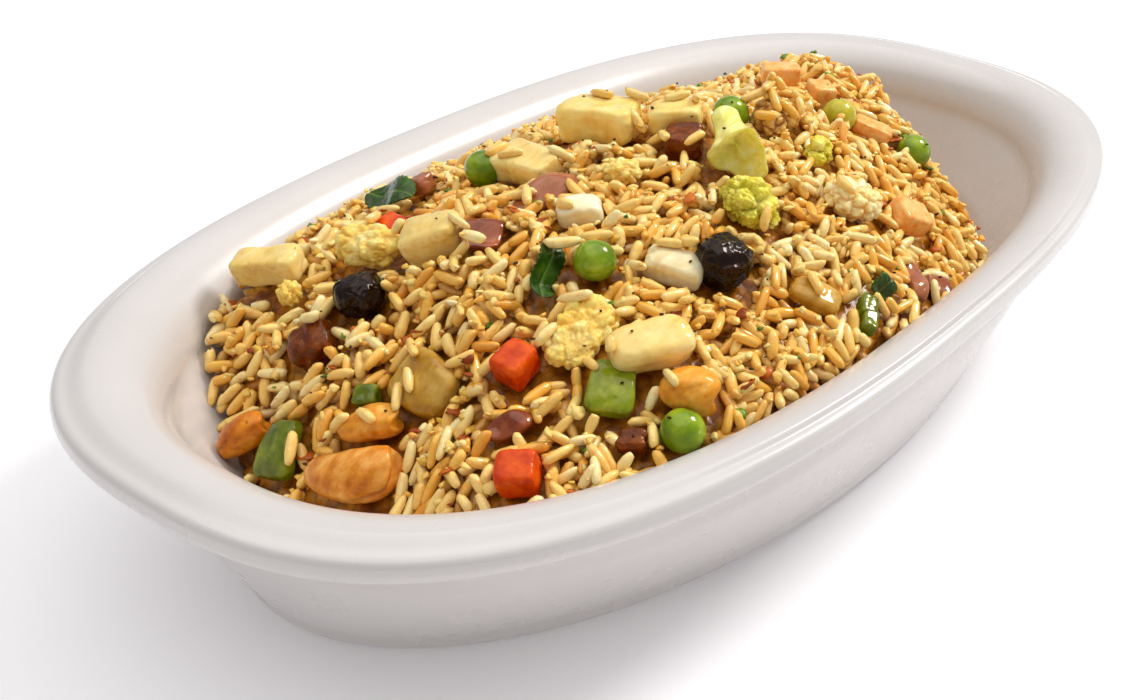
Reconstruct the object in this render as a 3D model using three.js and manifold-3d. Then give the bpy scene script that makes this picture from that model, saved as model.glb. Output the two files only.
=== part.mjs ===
// Oval rimmed dish heaped with fried rice, with its vegetables, nuts, egg and dried fruit.
// Millimetres. X runs along the long axis, Z is up, and the dish stands on Z = 0.

import * as THREE from 'three'
import { mergeVertices } from 'three/addons/utils/BufferGeometryUtils.js'
import Module from 'manifold-3d'

const wasm = await Module()
wasm.setup()

// Dish
const rimOval = { a: 125, b: 73, power: 2.58 }
const lipOval = { a: 113.2, b: 64.4, power: 2.48 }
const footOval = { a: 107.1, b: 59, power: 2 }
const innerFootOval = { a: 100.6, b: 53.5, power: 2.1 }
const dishHeight = 41
const lipRadius = 11
const lipFlatStart = 6
const rimEdgeHeight = 4.8
const rimEdgeRound = 1.9
const rimFall = 0.9
const wallThickness = 6
const wallFlare = 4.5
const floorThickness = 5
const footRound = 5
const floorRound = 14
const dishSegments = 54

// Rice
const pieceGap = 0.35
const wallGap = 0.7
const heapOval = { a: 107, b: 58.2, power: 2.45 }
const crestPitch = 26
const crestHeights = [16, 35.5, 49.5, 53.5, 57.5, 55, 53, 56, 52]
const edgePitch = 52
const backEdgeHeights = [39.5, 38, 35.5, 30, 27]
const frontEdgeHeights = [28, 35, 34.5, 19, 14]
const heapEndX = 57
const heapEndSkew = 0.2
const heapEndFall = 0.06
const moundRise = 0.8
const grainLength = 7.4
const grainPitch = 4.2
const grainRise = 0.9
const furrowPitch = 4.5
const furrowDepth = 0.8
const tries = 7000
const coveredPart = 0.95

// Food pieces
const peaSize = 7.7
const diceSize = 6.8
const leafThickness = 0.6
const sliceThickness = 1.6

const lipRoundZ = dishHeight - lipRadius
const wallTopOval = grownOval(lipOval, lipFlatStart - lipRadius)

function seededRandom(seed) {
  let state = seed
  return () => {
    state = (state * 1664525 + 1013904223) % 4294967296
    return state / 4294967296
  }
}

function mix(from, to, part) {
  return from + (to - from) * part
}

function grownOval(oval, grow) {
  return { a: oval.a + grow, b: oval.b + grow, power: oval.power }
}

function ovalPoint(oval, angle) {
  const c = Math.cos(angle)
  const s = Math.sin(angle)
  const x = oval.a * Math.sign(c) * Math.abs(c) ** (2 / oval.power)
  const y = oval.b * Math.sign(s) * Math.abs(s) ** (2 / oval.power)
  return new THREE.Vector2(x, y)
}

function ovalReach(oval, x, y) {
  const along = Math.abs(x / oval.a) ** oval.power
  const across = Math.abs(y / oval.b) ** oval.power
  return (along + across) ** (1 / oval.power)
}

// Points evenly spaced round an oval, the first on +X.
function ovalPoints(oval, count) {
  const steps = 720
  const fine = []
  const reached = [0]
  for (let i = 0; i <= steps; i += 1) {
    fine.push(ovalPoint(oval, (i / steps) * 2 * Math.PI))
    if (i > 0) {
      reached.push(reached[i - 1] + fine[i].distanceTo(fine[i - 1]))
    }
  }
  const points = []
  let j = 0
  for (let k = 0; k < count; k += 1) {
    const target = (reached[steps] * k) / count
    while (reached[j + 1] < target) {
      j += 1
    }
    const part = (target - reached[j]) / (reached[j + 1] - reached[j])
    points.push(fine[j].clone().lerp(fine[j + 1], part))
  }
  return points
}

// Closed solid from stacked ovals, from its lowest centre round to its upper centre.
function ovalStack(rings, count) {
  const places = [0, 0, rings[0].z]
  const faces = []
  rings.forEach((ring, level) => {
    ovalPoints(ring.oval, count).forEach((point, i) => {
      const next = (i + 1) % count
      const here = 1 + level * count
      places.push(point.x, point.y, ring.z)
      if (level === 0) {
        faces.push(0, here + next, here + i)
      } else {
        const below = here - count
        faces.push(below + i, below + next, here + next)
        faces.push(below + i, here + next, here + i)
      }
    })
  })
  const last = rings.length - 1
  const top = places.length / 3
  places.push(0, 0, rings[last].z)
  for (let i = 0; i < count; i += 1) {
    faces.push(1 + last * count + i, 1 + last * count + ((i + 1) % count), top)
  }
  return meshFrom(places, faces)
}

function meshFrom(places, faces) {
  const geometry = new THREE.BufferGeometry()
  geometry.setAttribute('position', new THREE.Float32BufferAttribute(places, 3))
  geometry.setIndex(faces)
  return geometry
}

function solidFrom(geometry) {
  const bare = geometry.clone()
  bare.deleteAttribute('normal')
  bare.deleteAttribute('uv')
  const merged = mergeVertices(bare, 1e-4)
  return new wasm.Manifold(new wasm.Mesh({
    numProp: 3,
    vertProperties: new Float32Array(merged.attributes.position.array),
    triVerts: new Uint32Array(merged.index.array),
  }))
}

function geometryFrom(solid) {
  const mesh = solid.getMesh()
  return meshFrom(Array.from(mesh.vertProperties), Array.from(mesh.triVerts))
}

// The largest piece of a solid, without loose scraps.
function mainBody(solid) {
  const bodies = solid.decompose()
  return bodies.reduce((best, body) => (body.volume() > best.volume() ? body : best))
}

// The ovals of the hollow, from the floor up to the round of the lip.
function hollowRings(grow) {
  const floorZ = floorThickness - grow
  return [
    { oval: grownOval(innerFootOval, grow - floorRound), z: floorZ },
    { oval: grownOval(innerFootOval, grow - 0.32 * floorRound), z: floorZ + 0.2 * floorRound },
    { oval: grownOval(innerFootOval, grow), z: floorZ + 0.7 * floorRound },
    { oval: grownOval(wallTopOval, grow), z: lipRoundZ },
  ]
}

function makeDish() {
  const wallOval = grownOval(wallTopOval, wallThickness)
  const rimHigh = dishHeight - rimFall
  const rimLow = rimHigh - rimEdgeHeight
  const outside = [
    { oval: grownOval(footOval, -footRound), z: 0 },
    { oval: grownOval(footOval, -0.27 * footRound), z: 0.3 * footRound },
    { oval: footOval, z: footRound },
    { oval: wallOval, z: 0.7 * rimLow },
    { oval: grownOval(wallOval, wallFlare), z: rimLow },
    { oval: grownOval(rimOval, -0.6 * rimEdgeRound), z: rimLow + 0.1 },
    { oval: rimOval, z: rimLow + rimEdgeRound },
    { oval: rimOval, z: rimHigh - rimEdgeRound },
    { oval: grownOval(rimOval, -rimEdgeRound), z: rimHigh },
  ]
  const lip = [90, 115, 135, 158].map((degrees) => {
    const angle = THREE.MathUtils.degToRad(degrees)
    return {
      oval: grownOval(lipOval, lipFlatStart + lipRadius * Math.cos(angle)),
      z: lipRoundZ + lipRadius * Math.sin(angle),
    }
  })
  return ovalStack([...outside, ...lip, ...hollowRings(0).reverse()], dishSegments)
}

// The space that food may fill: the hollow, and straight up above the round of the lip.
function makeRoom() {
  const rings = hollowRings(-wallGap)
  const top = { oval: grownOval(wallTopOval, -wallGap), z: 2 * dishHeight }
  return solidFrom(ovalStack([...rings, top], dishSegments))
}

// Smooth height between evenly spaced stations along X.
function heightAlong(heights, pitch, x) {
  const last = heights.length - 1
  const place = THREE.MathUtils.clamp(x / pitch + last / 2, 0, last)
  const left = Math.min(Math.floor(place), last - 1)
  const t = place - left
  const before = heights[Math.max(left - 1, 0)]
  const from = heights[left]
  const to = heights[left + 1]
  const after = heights[Math.min(left + 2, last)]
  const slopeFrom = (to - before) / 2
  const slopeTo = (after - from) / 2
  const ease = t * t * (3 - 2 * t)
  return mix(from, to, ease) + slopeFrom * t * (1 - t) ** 2 - slopeTo * t * t * (1 - t)
}

// The heap without its grains: a crest that falls to the wall on each side, a little uneven,
// and drops to the bare floor before the far end of the dish.
function heapHeight(x, y) {
  const crest = heightAlong(crestHeights, crestPitch, x)
  const edges = y > 0 ? backEdgeHeights : frontEdgeHeights
  const edge = Math.min(heightAlong(edges, edgePitch, x), crest)
  const inside = Math.max(1 - Math.abs(x / heapOval.a) ** heapOval.power, 0.0001)
  const halfWidth = heapOval.b * inside ** (1 / heapOval.power)
  const across = Math.min(Math.abs(y) / halfWidth, 1)
  const mounds = Math.sin(x / 8.5 + 1) * Math.cos(y / 7.5) + 0.7 * Math.sin(x / 5.1 - y / 6.3)
  const end = heapEndFall * Math.max(x - heapEndX - heapEndSkew * y, 0) ** 2
  return mix(crest, edge, across ** 2) + moundRise * mounds * (1 - across ** 4) - end
}

function heapNormal(x, y) {
  const step = 3
  const slopeX = (heapHeight(x + step, y) - heapHeight(x - step, y)) / (2 * step)
  const slopeY = (heapHeight(x, y + step) - heapHeight(x, y - step)) / (2 * step)
  return new THREE.Vector3(-slopeX, -slopeY, 1).normalize()
}

function distanceToGrain(x, y, grain) {
  const along = (x - grain.x) * grain.dx + (y - grain.y) * grain.dy
  const held = THREE.MathUtils.clamp(along, -grain.half, grain.half)
  return Math.hypot(x - grain.x - held * grain.dx, y - grain.y - held * grain.dy)
}

// True where a piece lies on the heap, given the boxes round the pieces.
function isCovered(x, y, boxes) {
  return boxes.some(({ min, max }) => {
    const along = (2 * x - min.x - max.x) / (max.x - min.x)
    const across = (2 * y - min.y - max.y) / (max.y - min.y)
    return along ** 2 + across ** 2 < coveredPart
  })
}

// Grain ridges scattered at random angles, each clear of the grains already lying there.
function layGrains(random, field, boxes) {
  const grains = []
  for (let i = 0; i < tries; i += 1) {
    const angle = random() * Math.PI
    const half = 0.36 * grainLength * mix(0.8, 1.05, random())
    const grain = {
      x: mix(-field.a, field.a, random()),
      y: mix(-field.b, field.b, random()),
      dx: Math.cos(angle),
      dy: Math.sin(angle),
      half,
    }
    const ends = [-half, -half / 2, 0, half / 2, half]
    const clear = ends.every((s) => {
      const x = grain.x + s * grain.dx
      const y = grain.y + s * grain.dy
      return ovalReach(field, x, y) < 1
        && !isCovered(x, y, boxes)
        && grains.every((other) => distanceToGrain(x, y, other) > grainPitch)
    })
    if (clear) {
      grains.push(grain)
    }
  }
  return grains
}

// Low points between the grains.
function layFurrows(random, field, boxes, grains) {
  const furrows = []
  for (let i = 0; i < tries; i += 1) {
    const x = mix(-field.a, field.a, random())
    const y = mix(-field.b, field.b, random())
    const clear = ovalReach(field, x, y) < 1
      && !isCovered(x, y, boxes)
      && grains.every((grain) => distanceToGrain(x, y, grain) > grainPitch / 2)
      && furrows.every((other) => Math.hypot(x - other[0], y - other[1]) > furrowPitch)
    if (clear) {
      furrows.push([x, y])
    }
  }
  return furrows
}

function triangleWithCircle(points, a, b, c) {
  const [ax, ay] = points[a]
  const bx = points[b][0] - ax
  const by = points[b][1] - ay
  const cx = points[c][0] - ax
  const cy = points[c][1] - ay
  const d = 2 * (bx * cy - by * cx)
  const b2 = bx * bx + by * by
  const c2 = cx * cx + cy * cy
  const ux = (cy * b2 - by * c2) / d
  const uy = (bx * c2 - cx * b2) / d
  return { corners: [a, b, c], x: ax + ux, y: ay + uy, reach2: ux * ux + uy * uy }
}

// Delaunay triangles over points in plan, each counter-clockwise seen from above.
function triangulate(points) {
  const far = 20000
  const count = points.length
  const all = [...points, [-far, -far], [far, -far], [0, far]]
  let triangles = [triangleWithCircle(all, count, count + 1, count + 2)]
  points.forEach(([x, y], i) => {
    const rim = new Map()
    triangles = triangles.filter((triangle) => {
      if ((x - triangle.x) ** 2 + (y - triangle.y) ** 2 > triangle.reach2) {
        return true
      }
      triangle.corners.forEach((from, k) => {
        const to = triangle.corners[(k + 1) % 3]
        if (!rim.delete(`${to},${from}`)) {
          rim.set(`${from},${to}`, [from, to])
        }
      })
      return false
    })
    rim.forEach(([from, to]) => triangles.push(triangleWithCircle(all, from, to, i)))
  })
  return triangles.map((triangle) => triangle.corners)
    .filter((corners) => corners.every((corner) => corner < count))
}

// Closed solid between a triangulated top and a flat bottom below it.
function blockUnder(points, heights, bottom) {
  const count = points.length
  const places = []
  points.forEach(([x, y], i) => places.push(x, y, heights[i]))
  points.forEach(([x, y]) => places.push(x, y, bottom))
  const faces = []
  const border = new Map()
  triangulate(points).forEach(([a, b, c]) => {
    faces.push(a, b, c, count + a, count + c, count + b)
    const edges = [[a, b], [b, c], [c, a]]
    edges.forEach(([from, to]) => {
      if (!border.delete(`${to},${from}`)) {
        border.set(`${from},${to}`, [from, to])
      }
    })
  })
  border.forEach(([from, to]) => {
    faces.push(from, count + from, count + to, from, count + to, to)
  })
  return meshFrom(places, faces)
}

// The heap out to the wall, its surface covered with ridges the size of rice grains.
function makeRice(room, boxes) {
  const random = seededRandom(41)
  const field = grownOval(wallTopOval, 2)
  const grains = layGrains(random, field, boxes)
  const points = []
  const heights = []
  grains.forEach((grain) => {
    const rise = grainRise * mix(0.6, 1.7, random())
    const ends = [-grain.half, grain.half]
    ends.forEach((s) => {
      const x = grain.x + s * grain.dx
      const y = grain.y + s * grain.dy
      points.push([x, y])
      heights.push(heapHeight(x, y) + rise)
    })
  })
  layFurrows(random, field, boxes, grains).forEach(([x, y]) => {
    points.push([x, y])
    heights.push(heapHeight(x, y) - furrowDepth * mix(0.4, 1.6, random()))
  })
  ovalPoints(grownOval(field, 2), 80).forEach((point) => {
    points.push([point.x, point.y])
    heights.push(heapHeight(point.x, point.y))
  })
  return solidFrom(blockUnder(points, heights, -floorThickness)).intersect(room)
}

// Rounded lump: square 2 is an ellipsoid, more is boxier, and wrinkle makes it uneven.
function lump({ size, square = 2, detail = 1, wrinkle = 0, seed = 1, notch = 0 }) {
  return (grow) => {
    const geometry = mergeVertices(stripped(new THREE.IcosahedronGeometry(1, detail)), 1e-4)
    const half = size.map((value) => value / 2 + grow)
    const random = seededRandom(seed)
    const phase = [random() * 6, random() * 6, random() * 6]
    movePoints(geometry, (p) => {
      const total = Math.abs(p.x) ** square + Math.abs(p.y) ** square + Math.abs(p.z) ** square
      const waves = Math.sin(5 * p.x + phase[0]) * Math.sin(5 * p.y + phase[1])
        + Math.sin(7 * p.z + phase[2]) * Math.cos(6 * p.x - phase[1])
      const reach = total ** (-1 / square) + wrinkle * waves
      const dent = notch * Math.exp(-((p.x - 0.9) ** 2 + p.z ** 2) * 9)
      p.set(p.x * half[0], p.y * half[1], p.z * half[2]).multiplyScalar(reach * (1 - dent))
    })
    return geometry
  }
}

// Cut piece with softened edges; taper narrows it towards +X.
function block({ size, taper = 0, soften = 0.14, cuts = 2 }) {
  return (grow) => {
    const geometry = mergeVertices(stripped(new THREE.BoxGeometry(1, 1, 1, cuts, cuts, cuts)), 1e-4)
    const half = size.map((value) => value / 2 + grow)
    movePoints(geometry, (p) => {
      const spread = [p.x, p.y, p.z].map((value) => (Math.abs(value) > 0.4 ? 1 : 0))
      const edges = spread[0] + spread[1] + spread[2]
      const pull = 1 - soften * Math.max(edges - 1, 0) * 0.5
      const unit = [p.x, p.y, p.z].map((value) => {
        const side = Math.abs(value) > 0.4 ? pull : 1 - 1.5 * soften
        return Math.sign(value) * side
      })
      const narrow = 1 - taper * (0.5 + 0.5 * unit[0])
      p.set(
        unit[0] * half[0],
        unit[1] * narrow * half[1],
        unit[2] * (1 - 0.4 * taper * (0.5 + 0.5 * unit[0])) * half[2],
      )
    })
    return geometry
  }
}

// Thin wavy piece, both faces split alike; outline narrows to both ends of its length.
function sheet({ size, thickness, wave, curl = 0, pointed = 0.7, steps = [5, 2] }) {
  return (grow) => {
    const [long, wide] = steps
    const places = []
    const faces = []
    const sides = [1, -1]
    sides.forEach((side) => {
      for (let i = 0; i <= long; i += 1) {
        for (let j = 0; j <= wide; j += 1) {
          const u = (2 * i) / long - 1
          const v = (2 * j) / wide - 1
          const narrow = 1 - pointed * u ** 4
          const x = u * (size[0] / 2 + grow)
          const y = v * (size[1] / 2 + grow) * narrow
          const along = (2 * x) / size[0]
          const across = (2 * y) / size[1]
          const bow = curl * (along ** 2 + 0.6 * across ** 2)
          const rise = wave * Math.sin(3.1 * along + 0.8 * across) + bow
          places.push(x, y, rise + side * (thickness / 2 + grow))
        }
      }
    })
    const row = wide + 1
    const layer = row * (long + 1)
    for (let i = 0; i < long; i += 1) {
      for (let j = 0; j < wide; j += 1) {
        const a = i * row + j
        const b = a + row
        faces.push(a, b, b + 1, a, b + 1, a + 1)
        faces.push(layer + a, layer + b + 1, layer + b, layer + a, layer + a + 1, layer + b + 1)
      }
    }
    const wall = (from, to) => faces.push(from, layer + to, to, from, layer + from, layer + to)
    for (let i = 0; i < long; i += 1) {
      wall(i * row, (i + 1) * row)
      wall((i + 1) * row + wide, i * row + wide)
    }
    for (let j = 0; j < wide; j += 1) {
      wall(j + 1, j)
      wall(long * row + j, long * row + j + 1)
    }
    return meshFrom(places, faces)
  }
}

// Flared stalk: round rings along +X that open towards its far end.
function stalk({ length, thin, wide, bend }) {
  return (grow) => {
    const sides = 8
    const rings = 6
    const places = [-length / 2 - grow, 0, 0]
    const faces = []
    for (let i = 0; i < rings; i += 1) {
      const t = i / (rings - 1)
      const radius = mix(thin, wide, t ** 2.2) / 2 + grow
      const x = mix(-length / 2 - grow, length / 2 + grow, t)
      for (let k = 0; k < sides; k += 1) {
        const angle = (k / sides) * 2 * Math.PI
        const here = 1 + i * sides
        const next = (k + 1) % sides
        places.push(x, radius * Math.cos(angle) + bend * t * t, 0.8 * radius * Math.sin(angle))
        if (i === 0) {
          faces.push(0, here + next, here + k)
        } else {
          faces.push(here - sides + k, here - sides + next, here + next)
          faces.push(here - sides + k, here + next, here + k)
        }
      }
    }
    const end = places.length / 3
    const lastRing = 1 + (rings - 1) * sides
    places.push(length / 2 + grow - 1.2, bend, 0)
    for (let k = 0; k < sides; k += 1) {
      faces.push(lastRing + k, lastRing + ((k + 1) % sides), end)
    }
    return meshFrom(places, faces)
  }
}

// Curved kernel with a groove along one side.
function kernel({ length, width, thickness, bend, groove }) {
  return (grow) => {
    const geometry = mergeVertices(stripped(new THREE.SphereGeometry(1, 11, 7)), 1e-4)
    geometry.rotateZ(-Math.PI / 2)
    movePoints(geometry, (p) => {
      const full = Math.sqrt(Math.max(1 - p.x * p.x, 0)) ** 0.75
      const across = Math.atan2(p.z, p.y)
      const valley = groove * Math.exp(-((across + 0.75) ** 2) * 14)
      const radius = full * (1 + 0.15 * p.x) * (1 - valley)
      p.set(
        p.x * (length / 2 + grow),
        radius * Math.cos(across) * (width / 2 + grow) + bend * (1 - p.x * p.x),
        radius * Math.sin(across) * (thickness / 2 + grow),
      )
    })
    return geometry
  }
}

function stripped(geometry) {
  geometry.deleteAttribute('normal')
  geometry.deleteAttribute('uv')
  return geometry
}

function movePoints(geometry, move) {
  const places = geometry.attributes.position
  const point = new THREE.Vector3()
  for (let i = 0; i < places.count; i += 1) {
    point.fromBufferAttribute(places, i)
    move(point)
    places.setXYZ(i, point.x, point.y, point.z)
  }
}

// Lays a piece on the heap: turned about the slope's normal, leant, and raised or sunk.
function settle(geometry, { x, y, turn = 0, lean = 0, rise = 0 }) {
  const upright = new THREE.Vector3(0, 0, 1)
  const toSlope = new THREE.Quaternion().setFromUnitVectors(upright, heapNormal(x, y))
  const pose = new THREE.Matrix4().makeRotationFromQuaternion(toSlope)
  const degree = THREE.MathUtils.DEG2RAD
  pose.multiply(new THREE.Matrix4().makeRotationZ(turn * degree))
  pose.multiply(new THREE.Matrix4().makeRotationX(lean * degree))
  pose.setPosition(x, y, heapHeight(x, y) + rise)
  return geometry.applyMatrix4(pose)
}

const looks = {
  glaze: { color: 0xece7e3, roughness: 0.28 },
  rice: { color: 0xd9b070, roughness: 0.45 },
  pea: { color: 0x6a9c1e, roughness: 0.3 },
  carrot: { color: 0xe0621b, roughness: 0.35 },
  cashew: { color: 0xd89a55, roughness: 0.4 },
  roasted: { color: 0xc07a3c, roughness: 0.35 },
  raisin: { color: 0x2a1714, roughness: 0.3 },
  pepper: { color: 0x5b8d1b, roughness: 0.35 },
  leaf: { color: 0x1f5a1f, roughness: 0.45 },
  broccoli: { color: 0xa3b23c, roughness: 0.5 },
  pineapple: { color: 0xdcc27a, roughness: 0.35 },
  onion: { color: 0xcdbb80, roughness: 0.3 },
  shallot: { color: 0xa5706a, roughness: 0.4 },
  egg: { color: 0xe6c766, roughness: 0.5 },
  browned: { color: 0x8a4a1e, roughness: 0.4 },
}

const pea = { make: lump({ size: [peaSize, peaSize, peaSize * 0.95] }), look: 'pea' }

function dice(long, wide, high, shape = {}) {
  return { make: block({ size: [long, wide, high], ...shape }), look: 'carrot' }
}

function chunk(look, long, wide, high, shape = {}) {
  return { make: block({ size: [long, wide, high], ...shape }), look }
}

function curd(long, wide, high, seed) {
  const detail = long > 10 ? 2 : 1
  const shape = { size: [long, wide, high], detail, wrinkle: 0.09, square: 2.4, seed }
  return { make: lump(shape), look: 'egg' }
}

function slice(look, long, wide, shape = {}) {
  const plain = { size: [long, wide], thickness: sliceThickness, wave: 0.6, curl: -0.7 }
  return { make: sheet({ ...plain, ...shape }), look }
}

function leaf(long, wide, shape = {}) {
  const plain = { size: [long, wide], thickness: leafThickness, wave: 1, steps: [6, 3] }
  return { make: sheet({ ...plain, ...shape }), look: 'leaf' }
}

function nut(look, length, width, thickness, bend, groove = 0.18) {
  return { make: kernel({ length, width, thickness, bend, groove }), look }
}

function raisin(long, wide, high, seed) {
  const shape = { size: [long, wide, high], detail: 2, wrinkle: 0.1, square: 2.6, seed }
  return { make: lump(shape), look: 'raisin' }
}

function floret(long, wide, high, seed) {
  const detail = long > 10 ? 2 : 1
  const shape = { size: [long, wide, high], detail, wrinkle: 0.13, seed }
  return { make: lump(shape), look: 'broccoli' }
}

// Every piece of the mix that shows, from the near end of the dish to the far end.
const pieces = {
  cashew_front: [nut('cashew', 18.2, 9.6, 8.5, -1.6), { x: -91, y: -5, turn: -61, rise: 2.1 }],
  cashew_charred: [nut('roasted', 10.8, 6.7, 5.9, 0.7), { x: -93.1, y: 21.4, turn: -30, rise: 1.6 }],
  cashew_middle: [nut('roasted', 11.6, 6.4, 5.7, 0.9), { x: -84.7, y: -3.1, turn: -52, rise: 1.6 }],
  pepper_front: [
    chunk('pepper', 10.8, 8.6, 3.4, { taper: 0.35 }),
    { x: -92.5, y: 12.5, turn: 18, rise: 2 },
  ],
  browned_cube: [chunk('browned', 7.7, 8.1, 6.7), { x: -77, y: 19.5, turn: 44, rise: -1.1 }],
  raisin_left: [raisin(8.4, 8.6, 7.7, 3), { x: -67.4, y: 17.1, turn: 25, rise: 0.7 }],
  leek_left: [chunk('pepper', 4.5, 3.9, 3), { x: -80.8, y: 2, turn: -60, rise: 0.7 }],
  onion_slab: [
    chunk('onion', 12.8, 11.5, 4.8, { taper: 0.2 }),
    { x: -75.1, y: -6.5, turn: -101, lean: 8, rise: 0.7 },
  ],
  carrot_front: [dice(diceSize, 6.3, 6.3), { x: -81.6, y: -33.9, turn: -55, rise: 1.9 }],
  carrot_middle: [
    dice(diceSize, 6.3, 6.1, { taper: 0.15 }),
    { x: -67.5, y: -21, turn: 2, rise: 1.6 },
  ],
  shallot_sliver: [slice('shallot', 8.2, 4.4), { x: -75.9, y: -26.7, turn: -37, rise: 1.1 }],
  pineapple_left: [
    chunk('pineapple', 13.5, 6.3, 5.4, { taper: -0.1 }),
    { x: -69.1, y: 40.5, turn: -63, rise: 2.9 },
  ],
  egg_left: [curd(14.7, 9.8, 7.5, 5), { x: -57.8, y: 25.2, turn: -84, rise: 1.8 }],
  egg_bead: [curd(4.9, 4.5, 4.1, 7), { x: -71.8, y: 31.4, turn: 0, rise: 1.1 }],
  carrot_sliver: [dice(6.6, 4.1, 2.7), { x: -51.2, y: 25.3, turn: -103, rise: 2.1 }],
  pineapple_middle: [
    chunk('pineapple', 11.5, 9.4, 7.1, { taper: 0.3 }),
    { x: -52.9, y: 12.4, turn: -60, rise: 1.4 },
  ],
  shallot_brown: [
    slice('shallot', 8.4, 7.4, { pointed: 0.4 }),
    { x: -49.4, y: 3.5, turn: 30, lean: 12, rise: 1.2 },
  ],
  leaf_back: [leaf(13.9, 7.2), { x: -42.8, y: 35.3, turn: -91, lean: 18, rise: 2.9 }],
  egg_sheet: [
    slice('egg', 14.9, 9.6, { wave: 1.1, steps: [6, 3] }),
    { x: -56.5, y: -25.6, turn: 2, lean: 14, rise: 1.7 },
  ],
  celery: [
    chunk('pepper', 9.9, 8.7, 3.3, { taper: 0.2 }),
    { x: -61.2, y: -36.4, turn: 28, lean: 10, rise: 1 },
  ],
  pineapple_stick: [
    chunk('pineapple', 14.7, 7.6, 6.4, { taper: -0.14, soften: 0.24 }),
    { x: -52.7, y: -37.8, turn: -31, rise: 2.8 },
  ],
  nut_round: [nut('roasted', 10.4, 8.3, 7.9, 0.3, 0.05), { x: -53.5, y: -46.8, turn: -52, rise: 1.7 }],
  pea_front: [pea, { x: -59.5, y: -50, rise: 1.6 }],
  bean_dark: [chunk('browned', 4.7, 3.8, 3.3), { x: -66.1, y: -44.6, turn: -56, rise: 0.9 }],
  pea_centre: [pea, { x: -43.9, y: -18.4, rise: 2.1 }],
  leaf_centre: [leaf(12.3, 5.3, { curl: 0.8 }), { x: -51.1, y: -13.1, turn: 33, lean: 46, rise: 2.5 }],
  raisin_centre: [raisin(10.1, 9.7, 8.7, 11), { x: -27, y: -34.1, turn: -9, rise: 2.1 }],
  onion_frosted: [
    chunk('onion', 10.8, 6.4, 5.2, { taper: -0.1 }),
    { x: -33.7, y: -28, turn: -62, rise: 0.9 },
  ],
  onion_pale: [chunk('onion', 8.6, 6.3, 4.5), { x: -33.9, y: -6.2, turn: -44, rise: 1 }],
  shallot_slice: [
    slice('shallot', 14.9, 7, { curl: -1.1, steps: [6, 3] }),
    { x: -31.1, y: 4.7, turn: -10, lean: 16, rise: 1.8 },
  ],
  pineapple_slab: [
    chunk('pineapple', 14.5, 10.6, 5.6, { taper: 0.4 }),
    { x: -24.9, y: 15.4, turn: -96, rise: 1.6 },
  ],
  pea_back: [pea, { x: -28.6, y: 23.6, rise: 1.1 }],
  egg_small: [curd(7.5, 5.6, 4.9, 13), { x: -18.9, y: -3.8, turn: -42, rise: 1.7 }],
  potato_big: [
    chunk('pineapple', 16.2, 11.1, 8.2, { taper: 0.1 }),
    { x: -7, y: 11.9, turn: -76, rise: 2.4 },
  ],
  onion_striped: [chunk('onion', 9.8, 5.9, 3.6), { x: -16.7, y: -47.4, turn: -64, rise: 0.7 }],
  shallot_bead: [chunk('shallot', 5, 4.4, 3.6), { x: -36.4, y: 33.2, turn: 10, rise: 1.6 }],
  broccoli_stalk: [
    { make: stalk({ length: 13.7, thin: 6.5, wide: 12.9, bend: -1.4 }), look: 'broccoli' },
    { x: 0.8, y: -16.1, turn: -126, lean: -20, rise: 3.9 },
  ],
  broccoli_floret: [floret(11.2, 12.5, 8.1, 17), { x: -11.1, y: -28.4, turn: 17, rise: 1.7 }],
  broccoli_bud: [floret(6.4, 6.4, 5.6, 19), { x: 18.2, y: -24.5, turn: 0, rise: 1.4 }],
  browned_slab: [chunk('browned', 7.4, 7.1, 5.5), { x: -3.8, y: -7.1, turn: -60, rise: 0.5 }],
  potato_small: [
    chunk('pineapple', 10.8, 7, 6, { taper: 0.2 }),
    { x: 0.5, y: -1.5, turn: -60, rise: 1.7 },
  ],
  pea_dark: [pea, { x: 14.1, y: -5.4, rise: 1.4 }],
  fried_clump: [curd(13.4, 9.6, 7.8, 23), { x: 21.3, y: -11.6, turn: 16, rise: 1.9 }],
  cauliflower: [curd(13.8, 9.5, 6.9, 29), { x: 11.5, y: -37.7, turn: -24, rise: 1.9 }],
  carrot_right: [dice(8.7, 7.1, 5.2, { taper: 0.12 }), { x: 26.8, y: -42.5, turn: -30, rise: 1.7 }],
  shallot_strip: [
    slice('shallot', 9.8, 4.1, { pointed: 0.15 }),
    { x: 10.5, y: -54.2, turn: -134, lean: 10, rise: 1.4 },
  ],
  shallot_dark: [
    slice('shallot', 6.9, 5.9, { pointed: 0.3 }),
    { x: 18.3, y: -55.6, turn: -60, rise: 0.7 },
  ],
  leaf_right: [leaf(6.2, 4.8, { steps: [5, 2] }), { x: -1.4, y: -53.3, turn: 20, lean: 16, rise: 1.2 }],
  pepper_right: [chunk('pepper', 5.2, 3.6, 3.1), { x: -9.1, y: -54.4, turn: 31, rise: 0.9 }],
  pepper_edge: [chunk('pepper', 5.4, 3.1, 3), { x: -11.6, y: -56.3, turn: 30, rise: 0.9 }],
  pea_right: [pea, { x: 39.7, y: -16, rise: 1.2 }],
  carrot_back: [dice(5.8, 5.6, 4.9), { x: 44.5, y: -7.8, turn: -30, rise: 1.4 }],
  carrot_top: [dice(8.8, 6, 5.1), { x: 44.2, y: 2.7, turn: -50, rise: 1.8 }],
  carrot_flake: [dice(8.8, 4.4, 3.2), { x: 44.1, y: -22, turn: -60, rise: 1.1 }],
  pea_far: [pea, { x: 50.6, y: -29.4, rise: 0.5 }],
}

function makeMesh(name, geometry, look) {
  const material = new THREE.MeshStandardMaterial({ metalness: 0, ...looks[look] })
  const shaped = geometry.clone()
  shaped.computeVertexNormals()
  const mesh = new THREE.Mesh(shaped, material)
  mesh.name = name
  return mesh
}

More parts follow.
